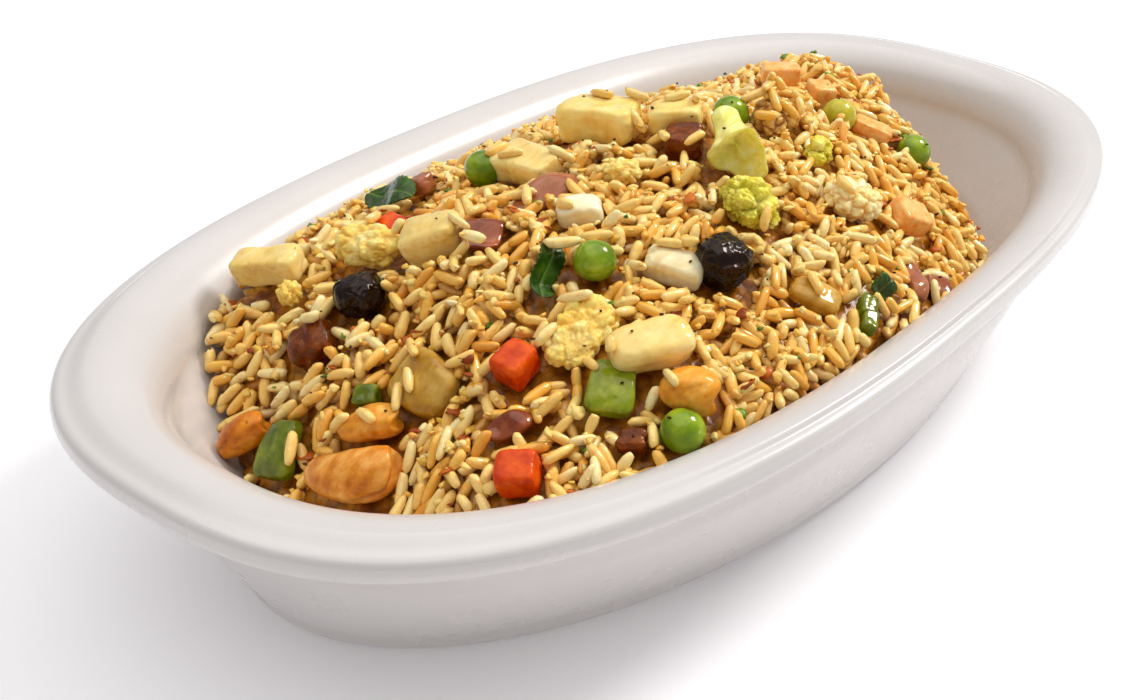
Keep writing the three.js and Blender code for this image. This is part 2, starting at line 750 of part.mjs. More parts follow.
// Each piece keeps clear of the dish and of the pieces laid before it; the rice closes round all.
function makeFood(group) {
  const room = makeRoom()
  const boxes = []
  let pockets = null
  Object.entries(pieces).forEach(([name, [piece, place]]) => {
    let body = solidFrom(settle(piece.make(0), place)).intersect(room)
    if (pockets) {
      body = body.subtract(pockets)
    }
    const pocketShape = settle(piece.make(pieceGap), place)
    pocketShape.computeBoundingBox()
    boxes.push(pocketShape.boundingBox)
    const pocket = solidFrom(pocketShape)
    pockets = pockets ? pockets.add(pocket) : pocket
    group.add(makeMesh(name, geometryFrom(mainBody(body)), piece.look))
  })
  const rice = mainBody(makeRice(room, boxes).subtract(pockets))
  group.add(makeMesh('rice', geometryFrom(rice), 'rice'))
}

const group = new THREE.Group()
group.name = 'fried_rice_dish'
group.add(makeMesh('dish', makeDish(), 'glaze'))
makeFood(group)

export default group
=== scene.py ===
import math
import random

import bpy
import numpy as np
from mathutils import Matrix, Vector, noise


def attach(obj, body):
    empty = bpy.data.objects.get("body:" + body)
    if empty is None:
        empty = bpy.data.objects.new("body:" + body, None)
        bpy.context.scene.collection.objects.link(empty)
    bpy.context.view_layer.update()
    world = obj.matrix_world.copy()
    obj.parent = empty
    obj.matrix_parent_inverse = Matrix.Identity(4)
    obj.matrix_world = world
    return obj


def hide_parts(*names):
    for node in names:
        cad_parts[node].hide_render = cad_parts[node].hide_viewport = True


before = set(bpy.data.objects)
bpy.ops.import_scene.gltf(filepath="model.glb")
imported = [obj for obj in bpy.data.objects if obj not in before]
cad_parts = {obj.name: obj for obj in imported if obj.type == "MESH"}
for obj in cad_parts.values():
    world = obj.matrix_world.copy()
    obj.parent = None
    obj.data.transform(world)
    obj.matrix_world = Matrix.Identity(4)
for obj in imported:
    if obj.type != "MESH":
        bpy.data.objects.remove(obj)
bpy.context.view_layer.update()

# Oval dish of fried rice. Shapes are worked out in millimetres, +X along the dish, +Z up.
MM = 0.001

# Dish
rim_oval = (125, 73, 2.58)
lip_oval = (113.2, 64.4, 2.48)
foot_oval = (107.1, 59, 2)
inner_foot_oval = (100.6, 53.5, 2.1)
dish_height = 41
lip_radius = 11
lip_flat_start = 6
rim_edge_height = 4.8
rim_edge_round = 1.9
rim_fall = 0.9
wall_thickness = 6
wall_flare = 4.5
belly_swell = 0.5
belly_top = 0.7
floor_thickness = 5
foot_round = 5
floor_round = 14
dish_segments = 220
lip_round_z = dish_height - lip_radius

# Rice heap
heap_oval = (107, 58.2, 2.45)
crest_pitch = 26
crest_heights = [16, 35.5, 49.5, 53.5, 57.5, 55, 53, 56, 52]
edge_pitch = 52
back_edge_heights = [39.5, 38, 35.5, 30, 27]
front_edge_heights = [28, 35, 34.5, 19, 14]
heap_end_x = 57
heap_end_skew = 0.2
heap_end_fall = 0.06
mound_rise = 0.8
bed_depth = 3.2
core_depth = 2.1
grain_cover = 0.5
clump_rise = 0.9
cell = 0.5
bed_half_length = 112
bed_half_width = 68
bed_reach = 0.985
core_reach = 0.97
core_step = 1.6
shown_depth = 1.0
crumb_free_depth = 1.5
hollow_depth = 0.8
hollow_cells = 5
thinnest_rice = 0.4
steepest_grain = 1.2
grain_sink = (0.2, 0.75)
grain_lengths = (5.0, 6.5)
grain_widths = (1.85, 2.25)
grain_heights = (1.65, 2.0)
grain_kinds = 12
crumb_kinds = 6
most_grains = 8000
most_rise = 1.4

# Food pieces
pea_size = 7.7
dice_size = 6.8
leaf_thickness = 0.6
slice_thickness = 1.6

# Light in and on oily food
flesh_reach = (1, 0.62, 0.32)
oil_tint = (1, 0.7, 0.3, 1)
oil_shine = 0.25


def mix(start, end, part):
    return start + (end - start) * part


def grown(oval, grow):
    """An oval is its half length, half width and power; this one reaches `grow` further out."""
    return (oval[0] + grow, oval[1] + grow, oval[2])


def between(first, second, part):
    return tuple(mix(a, b, part) for a, b in zip(first, second))


wall_top_oval = grown(lip_oval, lip_flat_start - lip_radius)


def oval_points(oval, count):
    """Points evenly spaced round an oval, the first on +X."""
    a, b, power = oval
    angle = np.linspace(0, 2 * np.pi, 2881)
    c, s = np.cos(angle), np.sin(angle)
    fine = np.stack([a * np.sign(c) * np.abs(c) ** (2 / power), b * np.sign(s) * np.abs(s) ** (2 / power)], 1)
    reached = np.concatenate([[0], np.cumsum(np.linalg.norm(np.diff(fine, axis=0), axis=1))])
    wanted = np.arange(count) / count * reached[-1]
    return np.stack([np.interp(wanted, reached, fine[:, k]) for k in (0, 1)], 1)


def oval_reach(oval, x, y):
    """1 on the oval, less inside it and more outside."""
    a, b, power = oval
    return (np.abs(x / a) ** power + np.abs(y / b) ** power) ** (1 / power)


def bowl_rings():
    """Ovals and heights of the hollow, from its floor to the top of the wall."""
    rings = []
    for k in range(9):
        angle = math.pi / 2 * (1 - k / 8)
        grow = floor_round * (math.cos(angle) - 1)
        height = floor_thickness + 0.7 * floor_round * (1 - math.sin(angle))
        rings.append((grown(inner_foot_oval, grow), height))
    low = rings[-1]
    for k in range(1, 9):
        part = k / 8
        rings.append((between(low[0], wall_top_oval, part), mix(low[1], lip_round_z, part)))
    return rings


def bowl_height(x, y):
    """Height of the hollow's surface under a point; far outside it, the rim's height."""
    height = np.full(np.shape(x), float(floor_thickness))
    rings = bowl_rings()
    reach_below = oval_reach(rings[0][0], x, y)
    for (_, low), (oval, high) in zip(rings, rings[1:]):
        reach_above = oval_reach(oval, x, y)
        part = np.clip((reach_below - 1) / np.maximum(reach_below - reach_above, 1e-6), 0, 1)
        height = np.where(reach_below > 1, mix(low, high, part), height)
        reach_below = reach_above
    outside = np.clip((reach_below - 1) * wall_top_oval[1], 0, lip_radius)
    lip = lip_round_z + np.sqrt(np.clip(lip_radius ** 2 - (lip_radius - outside) ** 2, 0, None))
    return np.where(reach_below > 1, lip, height)


def height_along(heights, pitch, x):
    """Smooth height between evenly spaced stations along X."""
    heights = np.asarray(heights, float)
    last = len(heights) - 1
    place = np.clip(x / pitch + last / 2, 0, last)
    left = np.minimum(np.floor(place).astype(int), last - 1)
    t = place - left
    before = heights[np.maximum(left - 1, 0)]
    start, end = heights[left], heights[left + 1]
    after = heights[np.minimum(left + 2, last)]
    slope_start, slope_end = (end - before) / 2, (after - start) / 2
    ease = t * t * (3 - 2 * t)
    return mix(start, end, ease) + slope_start * t * (1 - t) ** 2 - slope_end * t * t * (1 - t)


def heap_height(x, y):
    """The heap under its grains: a crest that falls to the wall, and drops before the far end."""
    x, y = np.asarray(x, float), np.asarray(y, float)
    crest = height_along(crest_heights, crest_pitch, x)
    back = height_along(back_edge_heights, edge_pitch, x)
    front = height_along(front_edge_heights, edge_pitch, x)
    edge = np.minimum(np.where(y > 0, back, front), crest)
    a, b, power = heap_oval
    half_width = b * np.maximum(1 - np.abs(x / a) ** power, 0.0001) ** (1 / power)
    across = np.minimum(np.abs(y) / half_width, 1)
    mounds = np.sin(x / 8.5 + 1) * np.cos(y / 7.5) + 0.7 * np.sin(x / 5.1 - y / 6.3)
    end = heap_end_fall * np.maximum(x - heap_end_x - heap_end_skew * y, 0) ** 2
    return mix(crest, edge, across ** 2) + mound_rise * mounds * (1 - across ** 4) - end


def rice_surface(x, y):
    """The loose grains' mean surface: the heap, a little lower on its far side."""
    part = np.clip((np.asarray(y, float) - 3) / 26, 0, 1)
    far = np.clip((np.asarray(x, float) + 30) / 60, 0, 1)
    return heap_height(x, y) - part * part * (3 - 2 * part) * mix(1.6, 3, far) - 0.8 * far


def heap_normal(x, y):
    step = 3
    slope_x = (heap_height(x + step, y) - heap_height(x - step, y)) / (2 * step)
    slope_y = (heap_height(x, y + step) - heap_height(x, y - step)) / (2 * step)
    return Vector((-slope_x, -slope_y, 1)).normalized()


def settled(x, y, turn, rise, lean=0):
    """Pose of a piece laid on the heap: turned about the slope's normal, leant, and raised or sunk."""
    pose = Vector((0, 0, 1)).rotation_difference(heap_normal(x, y)).to_matrix().to_4x4()
    pose = pose @ Matrix.Rotation(math.radians(turn), 4, "Z") @ Matrix.Rotation(math.radians(lean), 4, "X")
    return Matrix.Translation((x, y, float(heap_height(x, y)) + rise)) @ pose


# Grains that lie on top of other pieces
resting_grains = {
    "celery": 2, "leaf_back": 1, "leaf_centre": 1, "pepper_front": 1, "onion_slab": 4, "egg_sheet": 2,
    "pineapple_slab": 3, "potato_big": 3, "egg_left": 2, "pineapple_middle": 1, "nut_round": 1,
    "onion_frosted": 2, "fried_clump": 12, "cauliflower": 1, "shallot_slice": 2, "broccoli_floret": 1,
    "cashew_middle": 2, "browned_slab": 2, "onion_pale": 1, "onion_striped": 1, "potato_small": 2,
    "browned_cube": 1, "shallot_brown": 2,
}


# Finishes

def tint(red, green, blue):
    """A colour read off a display, as the shader wants it."""
    linear = [((v / 255 + 0.055) / 1.055) ** 2.4 if v > 10 else v / 255 / 12.92 for v in (red, green, blue)]
    return (*linear, 1)


class Value:
    """A shader socket that takes part in sums, products and powers."""

    def __init__(self, finish, socket):
        self.finish, self.socket = finish, socket

    def _with(self, operation, first, second):
        return self.finish.add("ShaderNodeMath", {"operation": operation}, {0: first, 1: second})

    def __add__(self, other):
        return self._with("ADD", self, other)

    def __sub__(self, other):
        return self._with("SUBTRACT", self, other)

    def __rsub__(self, other):
        return self._with("SUBTRACT", other, self)

    def __mul__(self, other):
        return self._with("MULTIPLY", self, other)


class Finish:
    """A material whose nodes are added one call at a time."""

    def __init__(self, name):
        self.material = bpy.data.materials.new(name)
        self.material.use_nodes = True
        self.tree = self.material.node_tree
        self.tree.nodes.clear()
        self.place = self.add("ShaderNodeTexCoord", out="Object")

    def add(self, kind, settings=None, sockets=None, out=0):
        node = self.tree.nodes.new(kind)
        for key, setting in (settings or {}).items():
            if key == "stops":
                ramp = node.color_ramp
                while len(ramp.elements) < len(setting):
                    ramp.elements.new(0.5)
                for element, (position, colour) in zip(ramp.elements, setting):
                    element.position, element.color = position, colour
            else:
                setattr(node, key, setting)
        for key, value in (sockets or {}).items():
            if isinstance(value, Value):
                self.tree.links.new(value.socket, node.inputs[key])
            else:
                node.inputs[key].default_value = value
        return Value(self, node.outputs[out]) if node.outputs else None

    def stretched(self, sizes):
        """Object coordinates in which one unit is `sizes` millimetres."""
        scale = [1 / (size * MM) for size in sizes]
        return self.add("ShaderNodeVectorMath", {"operation": "MULTIPLY"}, {0: self.place, 1: scale})

    def cloud(self, size, detail=2, rough=0.5, bend=0):
        """Soft random value from 0 to 1 whose bumps are about `size` millimetres wide."""
        sizes = size if isinstance(size, tuple) else (size, size, size)
        sockets = {"Scale": 1, "Detail": detail, "Roughness": rough, "Distortion": bend}
        return self.add("ShaderNodeTexNoise", sockets={"Vector": self.stretched(sizes), **sockets})

    def cells(self, size):
        sockets = {"Vector": self.stretched((size, size, size)), "Scale": 1}
        return self.add("ShaderNodeTexVoronoi", sockets=sockets)

    def trait(self, name):
        """A value that each vertex of the piece carries."""
        return self.add("ShaderNodeAttribute", {"attribute_name": name}, out="Fac")

    def stretch(self, value, low, high, start=0, end=1):
        """Brings low..high to start..end, held inside."""
        return self.add("ShaderNodeMapRange", {"clamp": True}, {0: value, 1: low, 2: high, 3: start, 4: end})

    def ramp(self, value, *stops):
        stops = [(position, tint(*colour)) for position, colour in stops]
        return self.add("ShaderNodeValToRGB", {"stops": stops}, {0: value})

    def blend(self, part, first, second):
        first, second = (end if isinstance(end, Value) else tint(*end) for end in (first, second))
        return self.add("ShaderNodeMix", {"data_type": "RGBA"}, {0: part, 6: first, 7: second}, out=2)

    def bump(self, height, depth, under=None):
        sockets = {"Strength": 1, "Distance": depth * MM, "Height": height}
        if under:
            sockets["Normal"] = under
        return self.add("ShaderNodeBump", sockets=sockets)

    def finish(self, **sockets):
        named = {key.replace("_", " "): value for key, value in sockets.items()}
        surface = self.add("ShaderNodeBsdfPrincipled", {}, named)
        self.add("ShaderNodeOutputMaterial", sockets={"Surface": surface})
        return self.material

    def patches(self, size, smooth, dull):
        """Roughness that goes from `smooth` to `dull` over patches `size` millimetres wide."""
        return self.stretch(self.cloud(size, 2), 0.3, 0.7, smooth, dull)

    def food(self, colour, roughness, relief, coat, soft, depth, **more):
        """Oily food: `coat` is the oil's weight and roughness. `soft` is the part of the light that goes in,
        about `depth` millimetres deep."""
        sockets = {
            "Base_Color": colour, "Roughness": roughness, "Normal": relief,
            "Coat_Weight": coat[0], "Coat_Roughness": coat[1],
            "Subsurface_Weight": soft, "Subsurface_Radius": flesh_reach, "Subsurface_Scale": depth * MM,
            "Specular_Tint": oil_tint, "Specular_IOR_Level": oil_shine,
        }
        return self.finish(**{**sockets, **more})


def glaze():
    f = Finish("glaze")
    colour = f.blend(f.stretch(f.cloud(38, 3, 0.55), 0.3, 0.7), (213, 208, 205), (208, 203, 200))
    gloss = f.stretch(f.cloud(16, 3), 0.3, 0.7, 0.24, 0.33)
    ripple = f.bump(f.cloud(3.2, 2) * 0.3 + f.cloud(22, 1) * 0.7, 0.12)
    return f.finish(
        Base_Color=colour, Roughness=gloss, Normal=ripple, Coat_Weight=0.35, Coat_Roughness=0.12, IOR=1.5)


def rice_finish():
    f = Finish("rice")
    stain = f.stretch(f.cloud(15, 3, 0.6), 0.34, 0.7)
    colour = f.ramp(
        f.trait("tone") * 0.66 + stain * 0.34,
        (0, (255, 238, 180)), (0.3, (254, 218, 130)), (0.62, (246, 188, 76)), (1, (222, 140, 36)))
    # Grains lying deeper below the heap's surface are blended towards a dark brown: painted shade in the gaps
    # between grains.
    colour = f.blend(f.stretch(f.trait("deep"), 0.2, 1) * 0.75, colour, (176, 98, 16))
    speckle = f.stretch(f.cloud(1.5, 3, 0.65), 0.52, 0.74)
    colour = f.blend(speckle * 0.4, colour, (226, 142, 36))
    uneven = f.bump(f.cloud(1.1, 3, 0.6), 0.14)
    return f.food(colour, f.patches(2.4, 0.2, 0.4), uneven, (0.9, 0.1), 0.3, 0.45, IOR=1.42)


def core_finish():
    f = Finish("rice_core")
    squashed = f.cells(2.4)
    colour = f.ramp(f.cloud(5, 3), (0.3, (138, 74, 8)), (0.5, (184, 116, 24)), (0.72, (220, 162, 56)))
    # Darker in the seams between the squashed lumps, where the bump is lowest: painted shade in the crevices.
    colour = f.blend(f.stretch(squashed, 0.35, 0.8) * 0.7, colour, (92, 44, 3))
    lumps = f.bump(1 - squashed, 0.9, f.bump(f.cloud(1.2, 2), 0.2))
    return f.food(colour, f.stretch(f.cloud(2, 1), 0, 1, 0.22, 0.45), lumps, (0.3, 0.15), 0.4, 1.6)


def skin_finish(name, pale, main, dark, patch, gloss, depth, soft, pitting, coat):
    """Moist skin or cut face: a main colour with paler and darker patches and fine pitting."""
    f = Finish(name)
    colour = f.ramp(f.cloud(patch, 3, 0.55), (0.28, dark), (0.5, main), (0.74, pale))
    colour = f.blend(f.stretch(f.cloud(0.9, 2), 0.55, 0.8) * 0.3, colour, dark)
    pits = f.bump(f.cloud(0.8, 2, 0.6), pitting)
    return f.food(colour, f.patches(2.2, gloss - 0.07, gloss + 0.1), pits, (coat, 0.07), soft, depth)


def fibre_finish(name, pale, main, dark, fried, grain=(7, 0.9, 0.9)):
    """Wet translucent flesh with long fibres and fried edges."""
    f = Finish(name)
    fibres = f.cloud(grain, 3, 0.6, 0.3)
    colour = f.ramp(fibres * 0.35 + f.cloud(6, 2) * 0.65, (0.26, dark), (0.46, main), (0.7, pale))
    edge = f.stretch(f.trait("edge") + f.cloud(3, 3) * 0.6, 0.9, 1.5)
    colour = f.blend(edge * 0.6, colour, fried)
    ridges = f.bump(fibres, 0.1, f.bump(f.cloud(0.9, 2), 0.05))
    return f.food(colour, f.patches(2.4, 0.16, 0.34), ridges, (0.8, 0.07), 0.55, 2.4, IOR=1.38)


def nut_finish(name, pale, main, dark, char):
    """Roasted kernel, darker in its groove as painted shade, and `char` as much scorched."""
    f = Finish(name)
    colour = f.ramp(f.cloud((6, 3, 3), 3, 0.6), (0.26, dark), (0.48, main), (0.72, pale))
    # Darker along the groove: painted shade in the recess.
    colour = f.blend(f.stretch(f.trait("dent"), 0.15, 0.9) * 0.75, colour, dark)
    scorch = f.stretch(f.cloud(4.4, 3, 0.65), 0.58, 0.7)
    colour = f.blend(scorch * char, colour, (104, 44, 10))
    grain = f.bump(f.cloud((5, 0.8, 0.8), 2), 0.1, f.bump(f.cloud(0.5, 1), 0.03))
    return f.food(colour, f.patches(2.2, 0.24, 0.42), grain, (0.35, 0.16), 0.25, 1.8)


def raisin_finish():
    f = Finish("raisin")
    colour = f.ramp(f.cloud(2.6, 3), (0.3, (11, 3, 1)), (0.6, (27, 9, 4)), (0.82, (52, 20, 7)))
    # Darker in the creases between the ridges: painted shade.
    colour = f.blend(f.stretch(f.trait("dent"), 0.4, 1) * 0.7, colour, (7, 1, 1))
    creases = f.bump(f.cloud(0.9, 2, 0.6), 0.12)
    return f.finish(
        Base_Color=colour, Roughness=f.patches(1.6, 0.12, 0.3), Normal=creases, Coat_Weight=0.3,
        Coat_Roughness=0.06, Specular_IOR_Level=0.16, Specular_Tint=(1, 0.6, 0.4, 1))


def leaf_finish():
    f = Finish("herb_leaf")
    colour = f.ramp(f.cloud(3, 3), (0.3, (18, 46, 4)), (0.55, (34, 74, 8)), (0.8, (72, 112, 18)))
    colour = f.blend(f.stretch(f.trait("dent"), 0.4, 1) * 0.6, colour, (96, 130, 34))
    crinkle = f.bump(f.cells(1.1), 0.12, f.bump(f.cloud(0.5, 1), 0.05))
    return f.food(colour, f.patches(1.8, 0.22, 0.42), crinkle, (0.4, 0.14), 0.15, 1)


def floret_finish():
    f = Finish("broccoli")
    colour = f.ramp(f.cloud(3.4, 3), (0.3, (206, 196, 36)), (0.52, (240, 226, 84)), (0.76, (252, 242, 150)))
    # Darker in the seams between clumps and buds: painted shade.
    colour = f.blend(f.stretch(f.trait("dent"), 0.3, 1) * 0.6, colour, (160, 146, 16))
    return f.food(colour, f.patches(1.2, 0.3, 0.5), f.bump(f.cells(0.75), 0.25), (0.2, 0.2), 0.3, 1.6)


def stalk_finish():
    f = Finish("broccoli_stalk")
    colour = f.ramp(
        f.cloud((9, 1.6, 1.6), 3), (0.28, (226, 216, 80)), (0.52, (248, 240, 130)), (0.78, (255, 252, 190)))
    # Darker deep in the hollowed open end: painted shade.
    colour = f.blend(f.stretch(f.trait("dent"), 0.2, 1) * 0.6, colour, (224, 214, 80))
    ridges = f.bump(f.cloud((8, 0.8, 0.8), 2), 0.22)
    return f.food(colour, f.patches(2, 0.22, 0.4), ridges, (0.35, 0.14), 0.4, 2.4)


def egg_finish(name, pale, main, dark, fried, crease_fry_and_shade):
    """Soft curd whose creases are blended towards the `fried` brown, as much as `crease_fry_and_shade`:
    painted shade in the creases, with some real fried browning.
    """
    f = Finish(name)
    colour = f.ramp(f.cloud(3.6, 3, 0.6), (0.28, dark), (0.5, main), (0.72, pale))
    # Creases darkened towards the fried brown: painted shade, partly real browning.
    colour = f.blend(f.stretch(f.trait("dent"), 0.25, 0.95) * crease_fry_and_shade, colour, fried)
    pores = f.bump(f.cloud(0.6, 3, 0.65), 0.18, f.bump(f.cells(1.3), 0.15))
    return f.food(colour, f.patches(1.7, 0.3, 0.52), pores, (0.25, 0.2), 0.42, 2.2)


def crumb_finish(name, pale, dark):
    f = Finish(name)
    colour = f.blend(f.stretch(f.trait("tone") * 0.6 + f.cloud(0.9, 2) * 0.4, 0.2, 0.8), dark, pale)
    return f.food(colour, f.patches(0.8, 0.3, 0.5), f.bump(f.cloud(0.4, 2), 0.08), (0.25, 0.2), 0.15, 1)


# Shapes

def rough(points, size, seed):
    """Random height between about -1 and 1 at each point, in bumps `size` wide."""
    sizes = size if isinstance(size, tuple) else (size, size, size)
    shift = np.array((seed * 13.7, seed * 7.3, seed * 3.1))
    return np.array([noise.noise(Vector(p)) for p in points / np.array(sizes) + shift])


def lobes(points, size, seed):
    """Domes `size` wide: 0 at a dome's top, about 1 in the seams between domes."""
    shift = np.array((seed * 5.9, seed * 2.3, seed * 9.1))
    spots = points / size + shift
    reach = np.array([noise.voronoi(Vector(p))[0][:2] for p in spots])
    return 1 - np.clip((reach[:, 1] - reach[:, 0]) * 1.6, 0, 1)


balls = {}


def ball(cuts):
    """Directions and four-sided faces of a ball split `cuts` times along each side of a cube."""
    if cuts not in balls:
        numbers, spots, faces = {}, [], []

        def corner(place):
            if place not in numbers:
                numbers[place] = len(spots)
                spots.append(place)
            return numbers[place]

        sides = [(0, 1, 2), (1, 2, 0), (2, 0, 1)]
        for axis, u, v in sides:
            for level in (0, cuts):
                for i in range(cuts):
                    for j in range(cuts):
                        loop = []
                        for di, dj in ((0, 0), (1, 0), (1, 1), (0, 1)):
                            place = [0, 0, 0]
                            place[axis], place[u], place[v] = level, i + di, j + dj
                            loop.append(corner(tuple(place)))
                        faces.append(loop if level else loop[::-1])
        spread = np.tan((np.array(spots) / cuts * 2 - 1) * math.pi / 4)
        balls[cuts] = (spread / np.linalg.norm(spread, axis=1)[:, None], faces)
    return balls[cuts]


def squared(directions, power):
    """How far the surface of a squared ball of half size 1 lies along each direction."""
    return (np.abs(directions) ** power).sum(1) ** (-1 / power)


def squared_block(size, power, cuts):
    """Block with rounder edges the lower its power: its directions, faces, half size and points."""
    directions, faces = ball(cuts)
    half = np.array(size) / 2
    return directions, faces, half, directions * squared(directions, power)[:, None] * half


def tapered(points, half, taper):
    """Narrows a block towards +X."""
    along = np.clip(0.5 + 0.5 * points[:, 0] / half[0], 0, 1)
    points[:, 1] *= 1 - taper * along
    points[:, 2] *= 1 - 0.4 * taper * along
    return points


def pea_shape(seed):
    directions, faces = ball(16)
    half = np.array([pea_size, pea_size, pea_size * 0.95]) / 2
    dimple = np.exp(-((directions - (0.75, 0.3, 0.55)) ** 2).sum(1) * 14)
    swell = 1 + 0.012 * rough(directions, 0.7, seed) - 0.05 * dimple
    return directions * half * swell[:, None], faces, {}


def dice_shape(size, taper, seed):
    directions, faces, half, points = squared_block(size, 7, 18)
    points = tapered(points, half, taper)
    points += directions * (0.22 * rough(points, 3, seed) + 0.08 * rough(points, 0.9, seed + 5))[:, None]
    return points, faces, {}


def chunk_shape(size, taper, seed, power, fibre, bend=0.0, cuts=28):
    """Cut fruit or vegetable with fibres along X and ragged ends."""
    directions, faces, half, points = squared_block(size, power, cuts)
    unit = points / half
    edge = np.sort(np.abs(unit), axis=1)[:, 1] ** 3
    points = tapered(points, half, taper)
    ragged = np.clip(np.abs(unit[:, 0]) - 0.7, 0, 1) * 3.3
    grain = fibre * rough(points, (5, 1.3, 1.3), seed) * (1 + 0.9 * ragged)
    uneven = 0.07 * min(size) * rough(points, 4.5, seed + 3) + 0.1 * rough(points, 1.3, seed + 7)
    points += directions * (grain + uneven)[:, None]
    points[:, 2] += bend * (1 - unit[:, 0] ** 2) - bend * 0.5
    return points, faces, {"edge": edge}


def sheet_shape(size, thickness, wave, curl, pointed, seed, cuts=26, teeth=0.0, veins=0.0, crinkle=0.12):
    """Thin wavy piece with a round edge; its outline narrows to both ends of its length."""
    directions, faces = ball(cuts)
    power = 5
    half = np.array((size[0] / 2, size[1] / 2, thickness / 2))
    unit = directions * squared(directions, power)[:, None]
    u, v = unit[:, 0], unit[:, 1]
    narrow = 1 - pointed * u ** 4
    if teeth:
        narrow = narrow * (1 + teeth * np.clip(np.abs(v) * 1.6 - 0.6, 0, 1) * np.abs(((u * 5.5) % 1) * 2 - 1))
    points = unit * half
    points[:, 1] *= narrow
    along, across = points[:, 0] / half[0], points[:, 1] / half[1]
    bow = curl * (along ** 2 + 0.6 * across ** 2)
    rib = np.exp(-(across * 9) ** 2)
    side = np.exp(-((((along * 3.2 - np.abs(across) * 1.1) % 1) - 0.5) * 7) ** 2)
    side = side * np.clip(1 - np.abs(across), 0, 1)
    lines = np.maximum(rib, 0.7 * side) * (veins > 0)
    points[:, 2] += wave * np.sin(3.1 * along + 0.8 * across) + bow
    points[:, 2] += crinkle * rough(points * (1, 1, 0), 2.6, seed) - veins * lines
    return points, faces, {"dent": lines, "edge": np.maximum(np.abs(u), np.abs(v)) ** 4}


def kernel_shape(length, width, thickness, bend, groove, seed, side):
    """Curved nut kernel with a groove along one side that ends in a notch."""
    directions, faces = ball(30)
    x = directions[:, 0]
    full = np.sqrt(np.maximum(1 - x * x, 0)) ** 0.75
    across = np.arctan2(directions[:, 2], directions[:, 1])
    off = np.angle(np.exp(1j * (across - side + 0.1 * np.sin(3 * x))))
    crack = np.exp(-(off ** 2) * 60) * np.clip(1.3 + x - x * x, 0, 1)
    valley = groove * 0.7 * np.exp(-(off ** 2) * 9) + groove * 0.7 * crack
    radius = full * (1 + 0.15 * x) * (1 - valley)
    points = np.stack([
        x * length / 2,
        radius * np.cos(across) * width / 2 + bend * (1 - x * x),
        radius * np.sin(across) * thickness / 2,
    ], 1)
    plane = directions[:, 1] * math.sin(side) - directions[:, 2] * math.cos(side)
    points[:, 0] -= 0.11 * length * np.exp(-(plane * 4) ** 2) * np.clip((x - 0.72) / 0.28, 0, 1)
    uneven = 0.22 * rough(points, (4, 2, 2), seed) + 0.06 * rough(points, 1.1, seed + 2)
    points += directions * uneven[:, None]
    return points, faces, {"dent": crack}


def raisin_shape(size, seed):
    directions, faces, _, points = squared_block(size, 2.8, 38)
    swirl = points + 0.8 * np.stack([rough(points, 3.5, seed + k) for k in (1, 2, 3)], 1)
    long_ridges = 1 - np.clip(np.abs(rough(swirl, (4.2, 2.6, 3.4), seed)) * 2.6, 0, 1)
    small_ridges = 1 - np.clip(np.abs(rough(swirl, (1.5, 2.6, 1.7), seed + 4)) * 2.8, 0, 1)
    height = long_ridges ** 1.2 * 0.11 + small_ridges ** 1.5 * 0.03
    points *= (0.9 + height)[:, None]
    points += directions * (0.8 * rough(points, 4.5, seed + 6))[:, None]
    return points, faces, {"dent": 1 - np.clip(height / 0.12, 0, 1)}


def curd_shape(size, seed, fold=4.0, depth=0.9, fine=1.5, cuts=34, power=2.4):
    """Soft folded curd: rounded billows with creases between them."""
    directions, faces, _, points = squared_block(size, power, cuts)
    folds = lobes(points + 0.8 * rough(points, 2.2, seed)[:, None], fold, seed) ** 2
    small = lobes(points, fine, seed + 3) ** 2
    dent = np.clip(folds * 0.8 + small * 0.4, 0, 1)
    points -= directions * (depth * folds + 0.28 * small - 0.25)[:, None]
    points += directions * (0.5 * rough(points, 3.2, seed + 6) + 0.1 * rough(points, 0.8, seed + 1))[:, None]
    return points, faces, {"dent": dent}


def floret_shape(size, seed, cuts):
    """Head of tight buds in rounded clumps."""
    directions, faces = ball(cuts)
    half = np.array(size) / 2
    points = directions * half
    clumps = lobes(points, 4.2, seed) ** 2
    buds = lobes(points, 1.05, seed + 2) ** 1.5
    dent = np.clip(clumps * 0.75 + buds * 0.45, 0, 1)
    points -= directions * (1.5 * clumps + 0.34 * buds - 0.6)[:, None]
    points += directions * (0.7 * rough(points, 4.5, seed + 5))[:, None]
    return points, faces, {"dent": dent}


def stalk_shape(length, thin, wide, bend, seed):
    """Flared stalk with a hollowed, uneven open end."""
    sides, rings = 56, 30
    rows = []
    for i in range(rings):
        t = i / (rings - 1)
        radius = mix(thin, wide, t ** 2.2) / 2
        rows.append((mix(-length / 2, length / 2, t), radius, bend * t * t, t))
    for shrink, sink in ((0.9, 0.3), (0.72, 1.3), (0.5, 2.4), (0.28, 3.2), (0.1, 3.5)):
        rows.append((length / 2 - sink, wide / 2 * shrink, bend, 1))
    points, dents = [(-length / 2 - 0.4, 0, 0)], [0]
    for x, radius, drift, t in rows:
        for k in range(sides):
            angle = 2 * math.pi * k / sides
            flute = 1 + 0.1 * t * math.cos(3 * angle + 0.6) + 0.045 * t * math.cos(7 * angle)
            lean = 0.9 * t * t * math.cos(2 * angle + 0.4)
            reach = radius * flute
            points.append((x + lean, reach * math.cos(angle) + drift, 0.8 * reach * math.sin(angle)))
            dents.append(1 - min(radius / (wide / 2), 1) if x < length / 2 and t == 1 else 0)
    points.append((length / 2 - 3.5, bend, 0))
    dents.append(1)
    points = np.array(points)
    points += 0.3 * np.stack([rough(points, 3, seed + k) for k in range(3)], 1)
    return points, tube_faces(len(rows), sides), {"dent": np.array(dents, float)}


